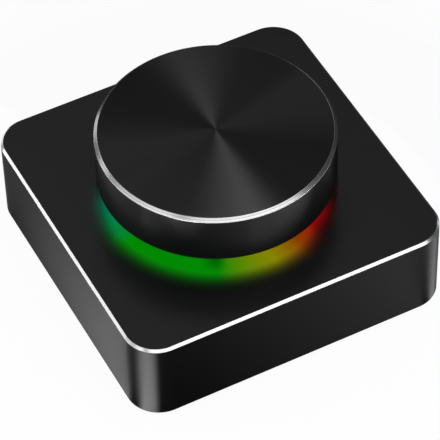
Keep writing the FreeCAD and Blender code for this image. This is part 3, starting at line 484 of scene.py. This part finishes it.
METALS = {
    # slot: (name, dark tone, light tone, roughness, grain, stretch)
    "black_screw": ("steel_black_oxide", "#1c1c20", "#2c2c30", 0.4, 0.3, 1),
    "steel_screw": ("steel_zinc_plated", "#b4b8c0", "#c8ccd2", 0.3, 0.4, 4),
    "ballast_steel": ("steel_plate_rolled_zinc_plated", "#a4a8b0", "#bcc0c6", 0.38, 0.5, 30),
    "usb_steel": ("steel_drawn_nickel_plated", "#c4beb4", "#d6d1c8", 0.25, 0.3, 12),
    "tinned_metal": ("bronze_tinned", "#c9cacc", "#dcdcdd", 0.3, 0.3, 6),
    "spring_steel": ("spring_steel_rolled", "#a8a8a8", "#c2c2c2", 0.25, 0.2, 20),
    "gold_contact": ("bronze_gold_plated", "#dfb45c", "#f0c978", 0.2, 0.2, 8),
    "die_cast_zinc": ("zinc_die_cast", "#9a9ca0", "#b4b5b8", 0.45, 0.5, 1),
}
FINISHES |= {slot: metal(*values) for slot, values in METALS.items()}
print("metals: %d materials" % len(METALS))

# %% [markdown]
# ## The underside's cover
#
# The cover is black anodised like the base, but it is stamped from sheet that was brushed first. The
# dyed oxide makes it a dark dielectric, and the brushing shows as long fine lines in its gloss. Real
# lines of 0.05 mm are drawn at 0.25 mm.

# %% Material of the cover
BRUSH_PITCH = 0.25
BRUSH_STRETCH = 60

cover_black = grained("black_anodised_aluminium_brushed_sheet", {"IOR": 1.5, "Anisotropic": 0.5},
                      "#0e0e10", "#19191b", 0.5, 0.32, BRUSH_PITCH, BRUSH_STRETCH, detail=2.0)
print("material:", cover_black.name)

# %% [markdown]
# ## The circuit board
#
# A board is woven glass in resin, with copper tracks under a coat of green solder mask. Where copper
# lies below, the mask looks lighter. The tracks run round the axis here, as they feed a ring of
# lights: a wave texture in rings gives them, and a coarse noise hides parts of them. The weave of
# 0.4 mm threads shows as a faint chequer.

# %% Material of the board
TRACK_PITCH = 1.6 * MM
THREAD_WIDTH = 0.4 * MM
PATCH_SIZE = 6 * MM
COPPER_THICK = 0.035 * MM
WAVES_PER_UNIT = 20 / math.tau

board, tree, shader = start_material("glass_epoxy_laminate_green_mask",
                                     {"IOR": 1.55, "Roughness": 0.35})
place = add(tree, "TexCoord")
rings = add(tree, "TexWave", {"wave_type": "RINGS", "rings_direction": "Z"},
            {"Vector": place.outputs["Object"], "Scale": 1 / (WAVES_PER_UNIT * TRACK_PITCH)})
masked = add(tree, "Math", {"operation": "MULTIPLY"},
             {0: rings.outputs["Fac"], 1: mottle(tree, PATCH_SIZE, detail=1.0)})
copper = add(tree, "MapRange", None,
             {"Value": masked.outputs[0], "From Min": 0.38, "From Max": 0.42})
weave = add(tree, "TexChecker", None,
            {"Vector": place.outputs["Object"], "Scale": 1 / THREAD_WIDTH,
             "Color1": linear("#12351f"), "Color2": linear("#163c25")})
toned(tree, shader, copper.outputs["Result"], weave.outputs["Color"], "#2c6238",
      strength=0.5, height=COPPER_THICK)
print("material:", board.name)

# %% [markdown]
# ## Helpers for meshes
#
# Most of the object is made of two kinds of form. A *lathe* form is an outline turned round the axis.
# A *loft* form is a stack of closed loops with equally many points, joined by strips of faces: the
# base is one loft that goes up the outside, over the deck, down the round opening and back along the
# inside. The loops are rounded squares and circles whose points share the same directions, so the
# strips stay even.

# %% Helpers: loops, loft, lathe, piece
SIDE_STEPS = 32
CORNER_STEPS = 16
LATHE_STEPS = 256
SCREW_STEPS = 48
SHARP_DEG = 25.0


def all_round(quarter):
    """A quarter of a loop, repeated to go all the way round the axis."""
    turns = [Matrix.Rotation(math.pi / 2 * k, 3, "Z") for k in range(4)]
    return [turn @ point for turn in turns for point in quarter]


def square_loop(half, radius, z):
    """Rounded square. Its side points are spread by direction, as seen from the axis."""
    inner = half - radius
    reach = math.atan2(inner, half)
    quarter = []
    for k in range(SIDE_STEPS):
        angle = reach * (2 * k / SIDE_STEPS - 1)
        quarter.append(Vector((half, half * math.tan(angle), z)))
    for k in range(CORNER_STEPS):
        angle = math.pi / 2 * k / CORNER_STEPS
        quarter.append(Vector((inner + radius * math.cos(angle), inner + radius * math.sin(angle), z)))
    return all_round(quarter)


def base_loop(half, z):
    """Rounded square whose corners share their centres with the base's."""
    return square_loop(half, half - CORNER_CENTRE, z)


def circle_like(loop, radius, z):
    """Circle with a point in the direction of each point of another loop."""
    return [Vector((p.x, p.y, 0)).normalized() * radius + Z_AXIS * z for p in loop]


def skin(mesh, rows, ring=True):
    """Strips of faces between rows of points, numbered by strip. A row of one point gives a fan."""
    count = max(len(row) for row in rows)
    for strip, (low, high) in enumerate(zip(rows, rows[1:])):
        if len(low) == len(high) == 1:
            continue
        for k in range(count if ring else count - 1):
            after = (k + 1) % count
            corners = dict.fromkeys((low[k % len(low)], low[after % len(low)],
                                     high[after % len(high)], high[k % len(high)]))
            mesh.faces.new(list(corners)).material_index = strip


def loft(loops, closed=False):
    """Mesh of strips between loops. Its first and last loops are capped, or joined if it is closed."""
    mesh = bmesh.new()
    rows = [[mesh.verts.new(point) for point in loop] for loop in loops]
    skin(mesh, rows + rows[:1] if closed else rows)
    if not closed:
        mesh.faces.new(reversed(rows[0])).material_index = len(rows) - 1
        mesh.faces.new(rows[-1]).material_index = len(rows)
    return mesh


def lathe(outline, steps=LATHE_STEPS):
    """Outline of (radius, height) corners, closed in itself and turned round the axis."""
    mesh = bmesh.new()
    angles = [math.tau * k / steps for k in range(steps)]
    rows = [[mesh.verts.new((radius * math.cos(a), radius * math.sin(a), z))
             for a in (angles if radius else (0,))] for radius, z in outline]
    skin(mesh, rows + rows[:1])
    return mesh


def at_places(mesh, places):
    """Copies of a mesh, one at each (x, y) place."""
    first = list(mesh.verts)
    whole = first + list(mesh.edges) + list(mesh.faces)
    for x, y in places[1:]:
        copied = bmesh.ops.duplicate(mesh, geom=whole)["geom"]
        bmesh.ops.translate(mesh, verts=[g for g in copied if isinstance(g, bmesh.types.BMVert)],
                            vec=(x, y, 0))
    bmesh.ops.translate(mesh, verts=first, vec=(*places[0], 0))
    return mesh


def smooth(data):
    """Smooth shading that stops at sharp edges."""
    data.shade_smooth()
    data.set_sharp_from_angle(angle=math.radians(SHARP_DEG))


def object_from(mesh, name, materials=(), strips=None):
    """Object from a mesh. strips says which material each strip has: the first, if it isn't named."""
    for face in mesh.faces:
        face.material_index = (strips or {}).get(face.material_index, 0)
    bmesh.ops.recalc_face_normals(mesh, faces=mesh.faces)
    data = bpy.data.meshes.new(name)
    mesh.to_mesh(data)
    mesh.free()
    for material in materials:
        data.materials.append(material)
    smooth(data)
    made = bpy.data.objects.new(name, data)
    scene.collection.objects.link(made)
    return made


def combine(piece, other, operation):
    """Joins another mesh to a piece, or cuts it out, and keeps the result as plain mesh."""
    step = piece.modifiers.new("step", "BOOLEAN")
    step.operation = operation
    step.solver = "EXACT"
    step.object = other
    graph = bpy.context.evaluated_depsgraph_get()
    result = bpy.data.meshes.new_from_object(piece.evaluated_get(graph))
    result.name = piece.name
    piece.modifiers.clear()
    piece.data = result
    smooth(result)
    bpy.data.objects.remove(other)


def seat(piece, body, node):
    """Puts a finished piece on its body and hides the node that it stands for."""
    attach(piece, body)
    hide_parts(node)
    print("%s: %d faces, on %s" % (piece.name, len(piece.data.polygons), body))


# %% [markdown]
# ## The base
#
# One closed strip of faces makes the shell, from the broken lower edge up the wall, over the bright
# chamfer and the deck, down the opening, and back inside to the ledge that the cover rests on. The
# strip of the chamfer gets the bare metal. The screw columns, their holes and the slot for the socket
# aren't part of such a strip, so they are joined and cut with Boolean steps, as on a milling machine.

# %% Build the housing
outer = base_loop(HALF_SIDE, Z_DECK)
inner_half = HALF_SIDE - WALL
seat_half = cover_high.x + COVER_FIT
housing_loops = [
    base_loop(HALF_SIDE - FOOT_CHAMFER, Z_METAL),
    base_loop(HALF_SIDE, Z_METAL + FOOT_CHAMFER),
    base_loop(HALF_SIDE, Z_DECK - EDGE_CHAMFER),
    base_loop(HALF_SIDE - EDGE_CHAMFER, Z_DECK),
    circle_like(outer, OPENING_R, Z_DECK),
    circle_like(outer, OPENING_R, Z_DECK_UNDER),
    base_loop(inner_half, Z_DECK_UNDER),
    base_loop(inner_half, Z_COVER_TOP),
    base_loop(seat_half, Z_COVER_TOP),
    base_loop(seat_half, Z_METAL),
]
WALL_STRIPS = {0: 1, 1: 1}
CHAMFER_STRIP = {2: 2}
housing = object_from(loft(housing_loops, closed=True), "base_housing",
                      [blasted_deck, blasted_wall, milled_edge], WALL_STRIPS | CHAMFER_STRIP)

# %% Screw columns in the corners, and posts for the board
CORNERS = [(1, 1), (-1, 1), (-1, -1), (1, -1)]
COLUMN_R = 3.9 * MM
COLUMN_BORE = 1.25 * MM
COLUMN_DEPTH = 7.0 * MM
POST_R = 2.2 * MM
POST_BORE = 1.0 * MM
POST_DEPTH = 4.5 * MM
SCREW_HEAD_R = 1.75 * MM
Z_BOARD_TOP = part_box("circuit_board")[1].z
POST_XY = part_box("board_screws")[1].x - SCREW_HEAD_R
column_places = [(sx * CORNER_CENTRE, sy * CORNER_CENTRE) for sx, sy in CORNERS]
post_places = [(sx * POST_XY, sy * POST_XY) for sx, sy in CORNERS]


def upright_rods(name, radius, z_low, z_high, places):
    """Upright cylinders in one object."""
    outline = [(0, z_low), (radius, z_low), (radius, z_high), (0, z_high)]
    return object_from(at_places(lathe(outline, SCREW_STEPS), places), name)


z_root = Z_DECK_UNDER + DECK_THICK / 2
combine(housing, upright_rods("columns", COLUMN_R, Z_COVER_TOP, z_root, column_places), "UNION")
combine(housing, upright_rods("posts", POST_R, Z_BOARD_TOP, z_root, post_places), "UNION")
for radius, z_foot, depth, places in ((COLUMN_BORE, Z_COVER_TOP, COLUMN_DEPTH, column_places),
                                      (POST_BORE, Z_BOARD_TOP, POST_DEPTH, post_places)):
    combine(housing, upright_rods("bores", radius, z_foot - depth, z_foot + depth, places),
            "DIFFERENCE")
print("columns at %.1f mm, posts at %.1f mm from the middle" % (CORNER_CENTRE / MM, POST_XY / MM))

# %% The slot for the socket
SLOT_STEPS = 24
SLOT_FIT = 0.18 * MM
SLOT_CHAMFER = 0.2 * MM
SHELL_HEIGHT = 3.26 * MM
RELIEF_HALF = 7.5 * MM
REAR_WALL = 1.5 * MM
RELIEF_RISE = 0.6 * MM
usb_low, usb_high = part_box("usb_shell")
USB_WIDTH = usb_high.x - usb_low.x
Z_USB = usb_low.z + SHELL_HEIGHT / 2


def stadium(width, height, y):
    """Upright loop with round ends, across the Y axis."""
    radius = height / 2
    reach = width / 2 - radius
    loop = []
    for side in (1, -1):
        for k in range(SLOT_STEPS + 1):
            angle = math.pi * (k / SLOT_STEPS - 0.5)
            loop.append(Vector((side * (reach + radius * math.cos(angle)), y,
                                Z_USB + side * radius * math.sin(angle))))
    return loop


relief_back = HALF_SIDE - REAR_WALL
relief_corners = [(-RELIEF_HALF, 0), (RELIEF_HALF, 0), (RELIEF_HALF, relief_back),
                  (-RELIEF_HALF, relief_back)]
relief = loft([[Vector((x, y, z)) for x, y in relief_corners]
               for z in (Z_COVER_TOP, Z_BOARD_TOP + RELIEF_RISE)])
combine(housing, object_from(relief, "relief"), "DIFFERENCE")

slot_width = USB_WIDTH + 2 * SLOT_FIT
slot_height = SHELL_HEIGHT + 2 * SLOT_FIT
flare = 2 * SLOT_CHAMFER
slot = loft([
    stadium(slot_width, slot_height, inner_half),
    stadium(slot_width, slot_height, HALF_SIDE - SLOT_CHAMFER),
    stadium(slot_width + 2 * flare, slot_height + 2 * flare, HALF_SIDE + SLOT_CHAMFER),
])
combine(housing, object_from(slot, "slot"), "DIFFERENCE")
seat(housing, "base", "housing")

# %% [markdown]
# ## The dial
#
# The cap is a lathe form. Its top and wall are turned and dyed, the chamfer between them is bare. Two
# narrow strips round off the chamfer's edges, as no cut edge is perfectly sharp, and they catch a thin
# line of light.

# %% Build the dial's cap
inner_r = DIAL_R - DIAL_WALL
socket_r = HUB_R + HUB_SOCKET_WALL
dial_outline = [
    (0, Z_DIAL_TOP),
    (DIAL_R - DIAL_CHAMFER, Z_DIAL_TOP),
    (DIAL_R - DIAL_CHAMFER + EDGE_BREAK, Z_DIAL_TOP - EDGE_SINK),
    (DIAL_R - EDGE_SINK, Z_DIAL_TOP - DIAL_CHAMFER + EDGE_BREAK),
    (DIAL_R, Z_DIAL_TOP - DIAL_CHAMFER),
    (DIAL_R, Z_DIAL + DIAL_FOOT),
    (DIAL_R - DIAL_FOOT, Z_DIAL),
    (inner_r + DIAL_FOOT, Z_DIAL),
    (inner_r, Z_DIAL + DIAL_FOOT),
    (inner_r, Z_ROOF - DIAL_BEVEL),
    (inner_r - DIAL_BEVEL, Z_ROOF),
    (socket_r + DIAL_BEVEL, Z_ROOF),
    (socket_r, Z_ROOF - DIAL_BEVEL),
    (socket_r, Z_HUB),
    (HUB_R, Z_HUB),
    (HUB_R, Z_ROOF),
    (0, Z_ROOF),
]
TOP_STRIP = {0: 1}
BRIGHT_STRIPS = {1: 2, 2: 2, 3: 2}
dial = object_from(lathe(dial_outline), "dial_cap", [turned_side, turned_top, turned_edge],
                   TOP_STRIP | BRIGHT_STRIPS)
seat(dial, "dial", "knob_shell")

# %% [markdown]
# ## The rubber foot
#
# A soft pad under the base keeps it from sliding while the dial is turned. It is moulded, so its lower
# edge is round, and shallow grooves that follow its outline let the air out and give it grip. Like the
# base it is a loft of rounded squares: each groove is four loops, two at the surface and two below it.

# %% Build the pad
pad_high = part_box("rubber_pad")[1]
PAD_CORNER_R = 6.0 * MM
PAD_LEAST_R = 0.4 * MM
PAD_ROUND = 0.5 * MM
ROUND_STEPS = 5
GROOVES = 7
GROOVE_PITCH = 2.6 * MM
GROOVE_WIDTH = 0.9 * MM
GROOVE_DEPTH = 0.35 * MM
GROOVE_FLANK = 0.15 * MM


def pad_loop(inset, z):
    """The pad's outline, moved inwards."""
    return square_loop(pad_high.x - inset, max(PAD_CORNER_R - inset, PAD_LEAST_R), z)


pad_loops = [pad_loop(0, pad_high.z)]
for k in range(ROUND_STEPS + 1):
    angle = math.pi / 2 * k / ROUND_STEPS
    pad_loops.append(pad_loop(PAD_ROUND * (1 - math.cos(angle)), PAD_ROUND * (1 - math.sin(angle))))
for k in range(1, GROOVES + 1):
    near = k * GROOVE_PITCH
    far = near + GROOVE_WIDTH
    pad_loops += [pad_loop(near, 0), pad_loop(near + GROOVE_FLANK, GROOVE_DEPTH),
                  pad_loop(far - GROOVE_FLANK, GROOVE_DEPTH), pad_loop(far, 0)]
pad = object_from(loft(pad_loops), "rubber_foot", [FINISHES["soft_rubber"]])
seat(pad, "base", "rubber_pad")

# %% [markdown]
# ## The snap dome
#
# Under the dial's shaft lies a thin steel dome. Pressed down, it snaps through, which gives the click,
# and lifts the dial again. It is the one piece that bends when the dial is pressed, so it is made anew
# as a lathe form with a mesh of its own.

# %% Build the snap dome
dome_low, dome_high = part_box("switch_dome")
DOME_THICK = 0.1 * MM
DOME_RINGS = 6


def dome_face(radius, rise, shares):
    """One side of the dome: a parabola over shares of the way from the middle to the rim."""
    return [(radius * share, dome_low.z + rise * (1 - share ** 2)) for share in shares]


ring_shares = [k / DOME_RINGS for k in range(DOME_RINGS + 1)]
dome_rise = dome_high.z - dome_low.z
dome_outline = (dome_face(dome_high.x, dome_rise, ring_shares)
                + dome_face(dome_high.x - DOME_THICK, dome_rise - DOME_THICK, ring_shares[::-1]))
snap_dome = object_from(lathe(dome_outline, SCREW_STEPS), "snap_dome", [FINISHES["spring_steel"]])
seat(snap_dome, "base", "switch_dome")
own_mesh(snap_dome)

# %% [markdown]
# ## Screws
#
# A CAD screw is a plain pin with a head. The real one has a thread and a cross recess for the driver.
# The thread is one grid of points whose radius follows a saw-tooth that climbs one pitch per turn, so
# it is a true helix. The recess is a tapered cross, cut out of the head with a Boolean step.

# %% Helpers: a threaded pin, a cross-shaped cutter and a group of screws
THREAD_STEPS = 24
ROWS_PER_TURN = 5
THREAD_DEPTH = 0.6
TIP_TURNS = 1.5
TIP_NARROW = 0.35
RECESS_TAPER = 0.45
RECESS_START = 0.1


def threaded_pin(outline, radius, pitch, z_low, z_high):
    """Head outline from the axis outwards, then a thread up to z_high."""
    depth = THREAD_DEPTH * pitch
    tip = TIP_TURNS * pitch
    count = int((z_high - z_low) / pitch * ROWS_PER_TURN)
    rings = [([head_r] * THREAD_STEPS, z) for head_r, z in outline]
    for k in range(count + 1):
        z = z_low + (z_high - z_low) * k / count
        run_out = min(1.0, (z - z_low) / pitch)
        narrow = 1 - TIP_NARROW * max(0.0, (z - z_high + tip) / tip)
        teeth = [(z / pitch - m / THREAD_STEPS) % 1.0 for m in range(THREAD_STEPS)]
        rings.append(([(radius - depth * abs(2 * tooth - 1) * run_out) * narrow for tooth in teeth], z))
    turns = [math.tau * m / THREAD_STEPS for m in range(THREAD_STEPS)]
    return loft([[(r * math.cos(turn), r * math.sin(turn), z) for r, turn in zip(radii, turns)]
                 for radii, z in rings])


def cross_cutter(reach, width, depth, z_face):
    """Tapered cross, wide at the head's face."""
    loops = []
    for down in (-RECESS_START, 1.0):
        share, z = 1.0 - RECESS_TAPER * down, z_face + depth * down
        arm, half = reach * share, width / 2 * share
        loops.append(all_round([Vector((arm, -half, z)), Vector((arm, half, z)),
                                Vector((half, half, z))]))
    return loft(loops)


def screw_group(name, node, slot, places, head, thread, cross):
    """Equal screws in one piece that stands for a node. Heights count from the head's face.

    head is an outline, thread is (radius, pitch, start), and cross is (reach, width, depth).
    """
    low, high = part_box(node)
    radius, pitch, thread_start = thread
    pin = threaded_pin([(r, low.z + z) for r, z in head], radius, pitch, low.z + thread_start, high.z)
    screws = object_from(at_places(pin, places), name, [FINISHES[slot]])
    cutters = object_from(at_places(cross_cutter(*cross, low.z), places), "cutters", [FINISHES[slot]])
    combine(screws, cutters, "DIFFERENCE")
    seat(screws, "base", node)


# %% Cover screws: countersunk, black
CSK_HEAD_R = 2.3 * MM
CSK_DEPTH = 1.15 * MM
CSK_RIM = 0.1 * MM
CSK_CROSS = (1.35 * MM, 0.62 * MM, 1.0 * MM)
M25_R = 1.25 * MM
M25_PITCH = 0.45 * MM
csk_head = [(CSK_HEAD_R - CSK_RIM, 0), (CSK_HEAD_R, CSK_RIM / 2), (CSK_HEAD_R, CSK_RIM),
            (M25_R, CSK_DEPTH)]
screw_group("countersunk_screws", "cover_screws", "black_screw", column_places, csk_head,
            (M25_R, M25_PITCH, CSK_DEPTH + M25_PITCH), CSK_CROSS)

# %% Board screws: pan head, zinc plated
PAN_HEIGHT = 1.3 * MM
PAN_ROUND = 0.55 * MM
PAN_ARC = 0.3 * PAN_ROUND
PAN_NECK = 0.1 * MM
PAN_CROSS = (0.95 * MM, 0.5 * MM, 0.8 * MM)
M2_R = 1.0 * MM
M2_PITCH = 0.4 * MM
pan_head = [(SCREW_HEAD_R - PAN_ROUND, 0), (SCREW_HEAD_R - PAN_ARC, PAN_ARC),
            (SCREW_HEAD_R, PAN_ROUND), (SCREW_HEAD_R, PAN_HEIGHT), (M2_R, PAN_HEIGHT)]
screw_group("pan_head_screws", "board_screws", "steel_screw", post_places, pan_head,
            (M2_R, M2_PITCH, PAN_HEIGHT + PAN_NECK), PAN_CROSS)

# %% [markdown]
# ## Finishes for the pieces that stay
#
# The pieces inside the base keep their CAD meshes. Each has one material slot, named after the
# record's slot, so one table can dress them all: the name of the slot leads to the material.

# %% Dress the carried-over nodes
FINISHES |= {
    "smoked_polycarbonate": smoked, "board_laminate": board, "cover_aluminium": cover_black,
    "led_housing": FINISHES["white_nylon"], "plated_steel": FINISHES["steel_screw"],
}
slot_of = {row["node"]: row["material_slot"] for row in frame["record"]["subparts"]}
kept = {name: node for name, node in frame["nodes"].items() if not node.hide_render}
for name, node in kept.items():
    for place in node.material_slots:
        place.material = FINISHES[slot_of[name]]
print("dressed %d nodes" % len(kept))

# %% [markdown]
# ## The stage
#
# A pale floor carries the object. For the eye it is white, but it keeps a share of the real floor
# with the object's soft shadow. It lies a hair below the pad, since two faces in one plane would
# flicker.

# %% Floor
FLOOR_HALF = 3.0
FLOOR_DROP = 0.02 * MM
WHITE_SHARE = 0.95

floor_mesh = bmesh.new()
skin(floor_mesh, [[floor_mesh.verts.new((x, y, -FLOOR_DROP)) for x in (-FLOOR_HALF, FLOOR_HALF)]
                  for y in (-FLOOR_HALF, FLOOR_HALF)], ring=False)
floor = object_from(floor_mesh, "floor")

floor_paint, tree, shader = start_material("white_table_lacquer", {
    "Base Color": linear("#fafafa"), "Roughness": 0.9, "Specular IOR Level": 0.0,
})
path = add(tree, "LightPath")
share = path.outputs["Is Camera Ray"]
for operation, value in (("MAXIMUM", path.outputs["Is Glossy Ray"]),
                         ("MAXIMUM", path.outputs["Is Transmission Ray"]),
                         ("MULTIPLY", WHITE_SHARE)):
    share = add(tree, "Math", {"operation": operation}, {0: share, 1: value}).outputs[0]
white = add(tree, "Emission", None, {"Color": linear("#ffffff"), "Strength": 1.0})
both = add(tree, "MixShader", None,
           {0: share, 1: shader.outputs["BSDF"], 2: white.outputs["Emission"]})
tree.links.new(both.outputs["Shader"], tree.nodes["Material Output"].inputs["Surface"])
floor.data.materials.append(floor_paint)

# %% [markdown]
# ## The light
#
# Polished and turned metal shows its surroundings, so a product is lit by its reflections. Softboxes
# stand on a dome of 1 m. A turned face mirrors a lamp in the compass direction halfway between lamp
# and eye, so a ray with a sharp edge needs a lamp whose edge points at the *mirror point*, the spot on
# the dome that a flat mirror in the dial's place would show. Upright walls seen from above mirror the
# table. The base's gradients come from a ribbon of light that lies round its foot, and the dial's from
# small cards of light farther out. And bare metal needs something dark to mirror as well: a dark flag
# behind the object keeps the far edges from going white.

# %% A dark flag behind the object
FLAG_ROWS = ((50 * MM, 0.4 * MM), (75 * MM, 0.4 * MM), (75 * MM, 48 * MM))
FLAG_FROM, FLAG_TO, FLAG_STEP = -15, 112, 3


def heading(degrees):
    """Level direction of a compass angle, counted from X towards Y."""
    return Vector((math.cos(math.radians(degrees)), math.sin(math.radians(degrees)), 0))


flag_mesh = bmesh.new()
skin(flag_mesh, [[flag_mesh.verts.new(heading(turn) * radius + Z_AXIS * z)
                  for turn in range(FLAG_FROM, FLAG_TO + 1, FLAG_STEP)]
                 for radius, z in FLAG_ROWS], ring=False)
flag_cloth = start_material("cotton_duck_dark_grey", {
    "Base Color": linear("#404040"), "Roughness": 1.0, "Specular IOR Level": 0.0})[0]
flag = object_from(flag_mesh, "dark_flag", [flag_cloth])
flag.visible_camera = flag.visible_diffuse = False
print("flag: %d faces" % len(flag.data.polygons))

# %% Softboxes on a dome
STRONG, MAIN, SOFT, FAINT = 1.6, 1.0, 0.5, 0.25  # radiance
SOFTBOXES = {
    # name: (compass angle, height angle, turn, width, height, radiance), metres and degrees
    "left_outer": (175, 45, 0, 0.55, 0.90, MAIN),
    "right_outer": (345, 45, 0, 0.40, 0.50, FAINT),
    "front_left": (240, 42, 0, 0.55, 0.50, MAIN),
    "front_middle": (275, 42, 0, 0.35, 0.40, MAIN),
    "front_right": (305, 40, 0, 0.45, 0.50, MAIN),
    "rear_left": (120, 40, 0, 0.50, 0.50, SOFT),
    "rear_middle": (90, 50, 0, 0.25, 0.55, FAINT),
    "rear_top": (65, 50, 25, 0.35, 0.40, FAINT),
    "low_rear_left": (140, 10, None, 0.30, 0.20, STRONG),
    "low_left_4": (160, 20, None, 0.25, 0.30, SOFT),
    "low_left_3": (185, 15, None, 0.25, 0.30, MAIN),
    "low_left_2": (205, 15, None, 0.30, 0.30, SOFT),
    "low_left_1": (230, 15, None, 0.30, 0.30, SOFT),
    "low_right": (295, 20, None, 0.30, 0.30, STRONG),
    "low_rear_right": (30, 25, None, 0.60, 0.30, SOFT),
}
LAMP_POWER = 4.0  # watts of a square metre that shines with a radiance of 1


def lamp_from(name, place, towards, upright, width, height, radiance):
    """Area lamp that faces along -towards, with its height in the upright direction."""
    data = bpy.data.lights.new(name, "AREA")
    data.shape = "RECTANGLE"
    data.size = width
    data.size_y = height
    data.energy = LAMP_POWER * radiance * width * height
    lamp = bpy.data.objects.new(name, data)
    across = upright.cross(towards).normalized()
    lamp.matrix_world = placed(place, across, towards.cross(across), towards)
    lamp.visible_camera = False
    scene.collection.objects.link(lamp)


for name, (azimuth, height_angle, turn, width, height, radiance) in SOFTBOXES.items():
    rise = math.radians(height_angle)
    towards = heading(azimuth) * math.cos(rise) + Z_AXIS * math.sin(rise)
    upright = Z_AXIS if turn is None else heading(90 + turn)
    lamp_from(name, towards, towards, upright, width, height, radiance)
print("softboxes:", len(SOFTBOXES))

# %% Softboxes that make the rays
RAYS = {
    # compass angle: (spread in degrees, reach)
    197: (14, 1.0), 211: (14, 1.15), 224: (12, 1.15), 235: (10, 1.15), 244: (8, 1.15),
    251: (6, 1.15), 257: (6, 1.15), 263: (6, 1.15), 269: (6, 1.15), 296: (16, 0.85), 313: (18, 0.85),
}
# where the light of a fan begins, is strongest and ends, in compass degrees, and its radiance there
INNER_FAN = (230, 262, 272, 2.7)
OUTER_FAN = (210, 264, 285, 2.8)
FAN_POWER = 1.5
RAY_START, RAY_SPLIT = 0.26, 0.58


def ray_light(name, angle, spread, near, far, radiance):
    """Softbox on the dome, long side along a line that starts over the mirror point."""
    way = heading(angle)
    middle = (near + far) / 2
    flat = way * middle - Vector((back.x, back.y, 0))
    place = flat + Z_AXIS * math.sqrt(1 - flat.length_squared)
    slope = flat.length / place.z
    along = way.dot(flat.normalized())
    height = (far - near) * math.hypot(1, slope * along)
    lean = math.sqrt(1 + slope ** 2 * (1 - along ** 2))
    width = 2 * middle * math.tan(math.radians(spread / 2)) * lean
    lamp_from(name, place, place.normalized(), way, width, height, radiance)


def fan(angle, start, top, end, peak):
    """Radiance of a ray: it rises from the start to the top and falls to the end."""
    share = min((angle - start) / (top - start), (end - angle) / (end - top))
    return peak * max(0.0, share) ** FAN_POWER


for angle, (spread, reach) in RAYS.items():
    inner = fan(angle, *INNER_FAN)
    if inner:
        ray_light("ray_inner_%d" % angle, angle, spread, RAY_START, RAY_SPLIT, inner)
    ray_light("ray_outer_%d" % angle, angle, spread, RAY_SPLIT, reach, FAINT + fan(angle, *OUTER_FAN))
print("rays:", len(RAYS))

# %% A ribbon of light round the foot of the base
# It brightens along the left wall towards the front and along the front wall towards the right, and
# it has a hot spot in each of the two front corners
LEFT_LEVELS, FRONT_LEVELS = (0.5, 5.0), (0.2, 3.0)  # radiance where a wall begins and where it ends
LEVEL_POWER = 1.3
WALL_STEPS = 7
CORNER_LEVEL = 0.4
SPOTS = {-1: (225, 20, 31.0), 1: (298, 10, 9.0)}  # corner's side: middle, half width, radiance
SPOT_EDGE = 1.5
RIBBON_ROWS = ((0.2 * MM, 0.9), (12 * MM, 1.0), (30 * MM, 1.15))
Z_RIBBON = 0.5 * MM
MIRROR_TURN = math.degrees(math.atan2(back.y, back.x))


def wall_stations(start, end, normal, levels):
    """Stations along a straight wall, brighter towards its end."""
    made = []
    for step in range(WALL_STEPS + 1):
        share = step / WALL_STEPS
        light = levels[0] + (levels[1] - levels[0]) * share ** LEVEL_POWER
        made.append((start.lerp(end, share), normal, light))
    return made


def corner_stations(side, first):
    """Stations round the front left (side -1) or front right (side 1) corner, with its hot spot."""
    centre = Vector((side * CORNER_CENTRE, -CORNER_CENTRE, Z_RIBBON))
    middle, half, peak = SPOTS[side]
    made = []
    for normal in range(first, first + 71, 5):
        share = min(1.0, max(0.0, SPOT_EDGE * (1 - abs(normal - middle) / half)))
        light = max(CORNER_LEVEL, peak * share * share * (3 - 2 * share))
        made.append((centre + heading(normal) * CORNER_R, normal, light))
    return made


# station: (foot of the wall, compass angle that the wall faces, radiance)
near_left = Vector((-HALF_SIDE, -CORNER_CENTRE, Z_RIBBON))
stations = wall_stations(Vector((-HALF_SIDE, CORNER_CENTRE, Z_RIBBON)), near_left, 180, LEFT_LEVELS)
stations += corner_stations(-1, 190)
stations += wall_stations(Vector((-CORNER_CENTRE, -HALF_SIDE, Z_RIBBON)),
                          Vector((CORNER_CENTRE, -HALF_SIDE, Z_RIBBON)), 270, FRONT_LEVELS)
stations += corner_stations(1, 280)

ribbon_mesh = bmesh.new()
radiance_layer = ribbon_mesh.verts.layers.float.new("radiance")
rows = []
for reach, share in RIBBON_ROWS:
    rows.append([])
    for foot, normal, light in stations:
        vert = ribbon_mesh.verts.new(foot + heading(2 * normal - MIRROR_TURN) * reach)
        vert[radiance_layer] = light * share
        rows[-1].append(vert)
skin(ribbon_mesh, rows, ring=False)

backlit, tree, _ = start_material("opal_acrylic_backlit", {"Roughness": 1.0})
print_share = add(tree, "Attribute", {"attribute_name": "radiance"})
glow_through = add(tree, "Emission", None, {"Strength": print_share.outputs["Fac"]})
tree.links.new(glow_through.outputs["Emission"], tree.nodes["Material Output"].inputs["Surface"])
ribbon = object_from(ribbon_mesh, "light_ribbon", [backlit])
ribbon.visible_camera = ribbon.visible_shadow = ribbon.visible_diffuse = False
print("ribbon: %d stations" % len(stations))

# %% Cards of light in front, for the dial's wall
Z_CARD = 0.2 * MM
CARD_SIDE = 24 * MM
CARDS = {
    # compass angle: (distance from the axis in millimetres, radiance)
    195: (72, 2), 220: (88, 7), 255: (72, 1), 275: (72, 3), 295: (72, 4), 311: (72, 8),
}
for way, (far, radiance) in CARDS.items():
    lamp_from("card_%d" % way, heading(way) * far * MM + Z_AXIS * Z_CARD, -Z_AXIS, heading(way + 90),
              CARD_SIDE, CARD_SIDE, radiance)

# %% World
AIR_LIGHT = 0.044
world = bpy.data.worlds.new("studio_air")
world.use_nodes = True
air = world.node_tree.nodes["Background"]
air.inputs["Color"].default_value = linear("#ffffff")
air.inputs["Strength"].default_value = AIR_LIGHT
scene.world = world
scene.view_settings.view_transform = "Standard"
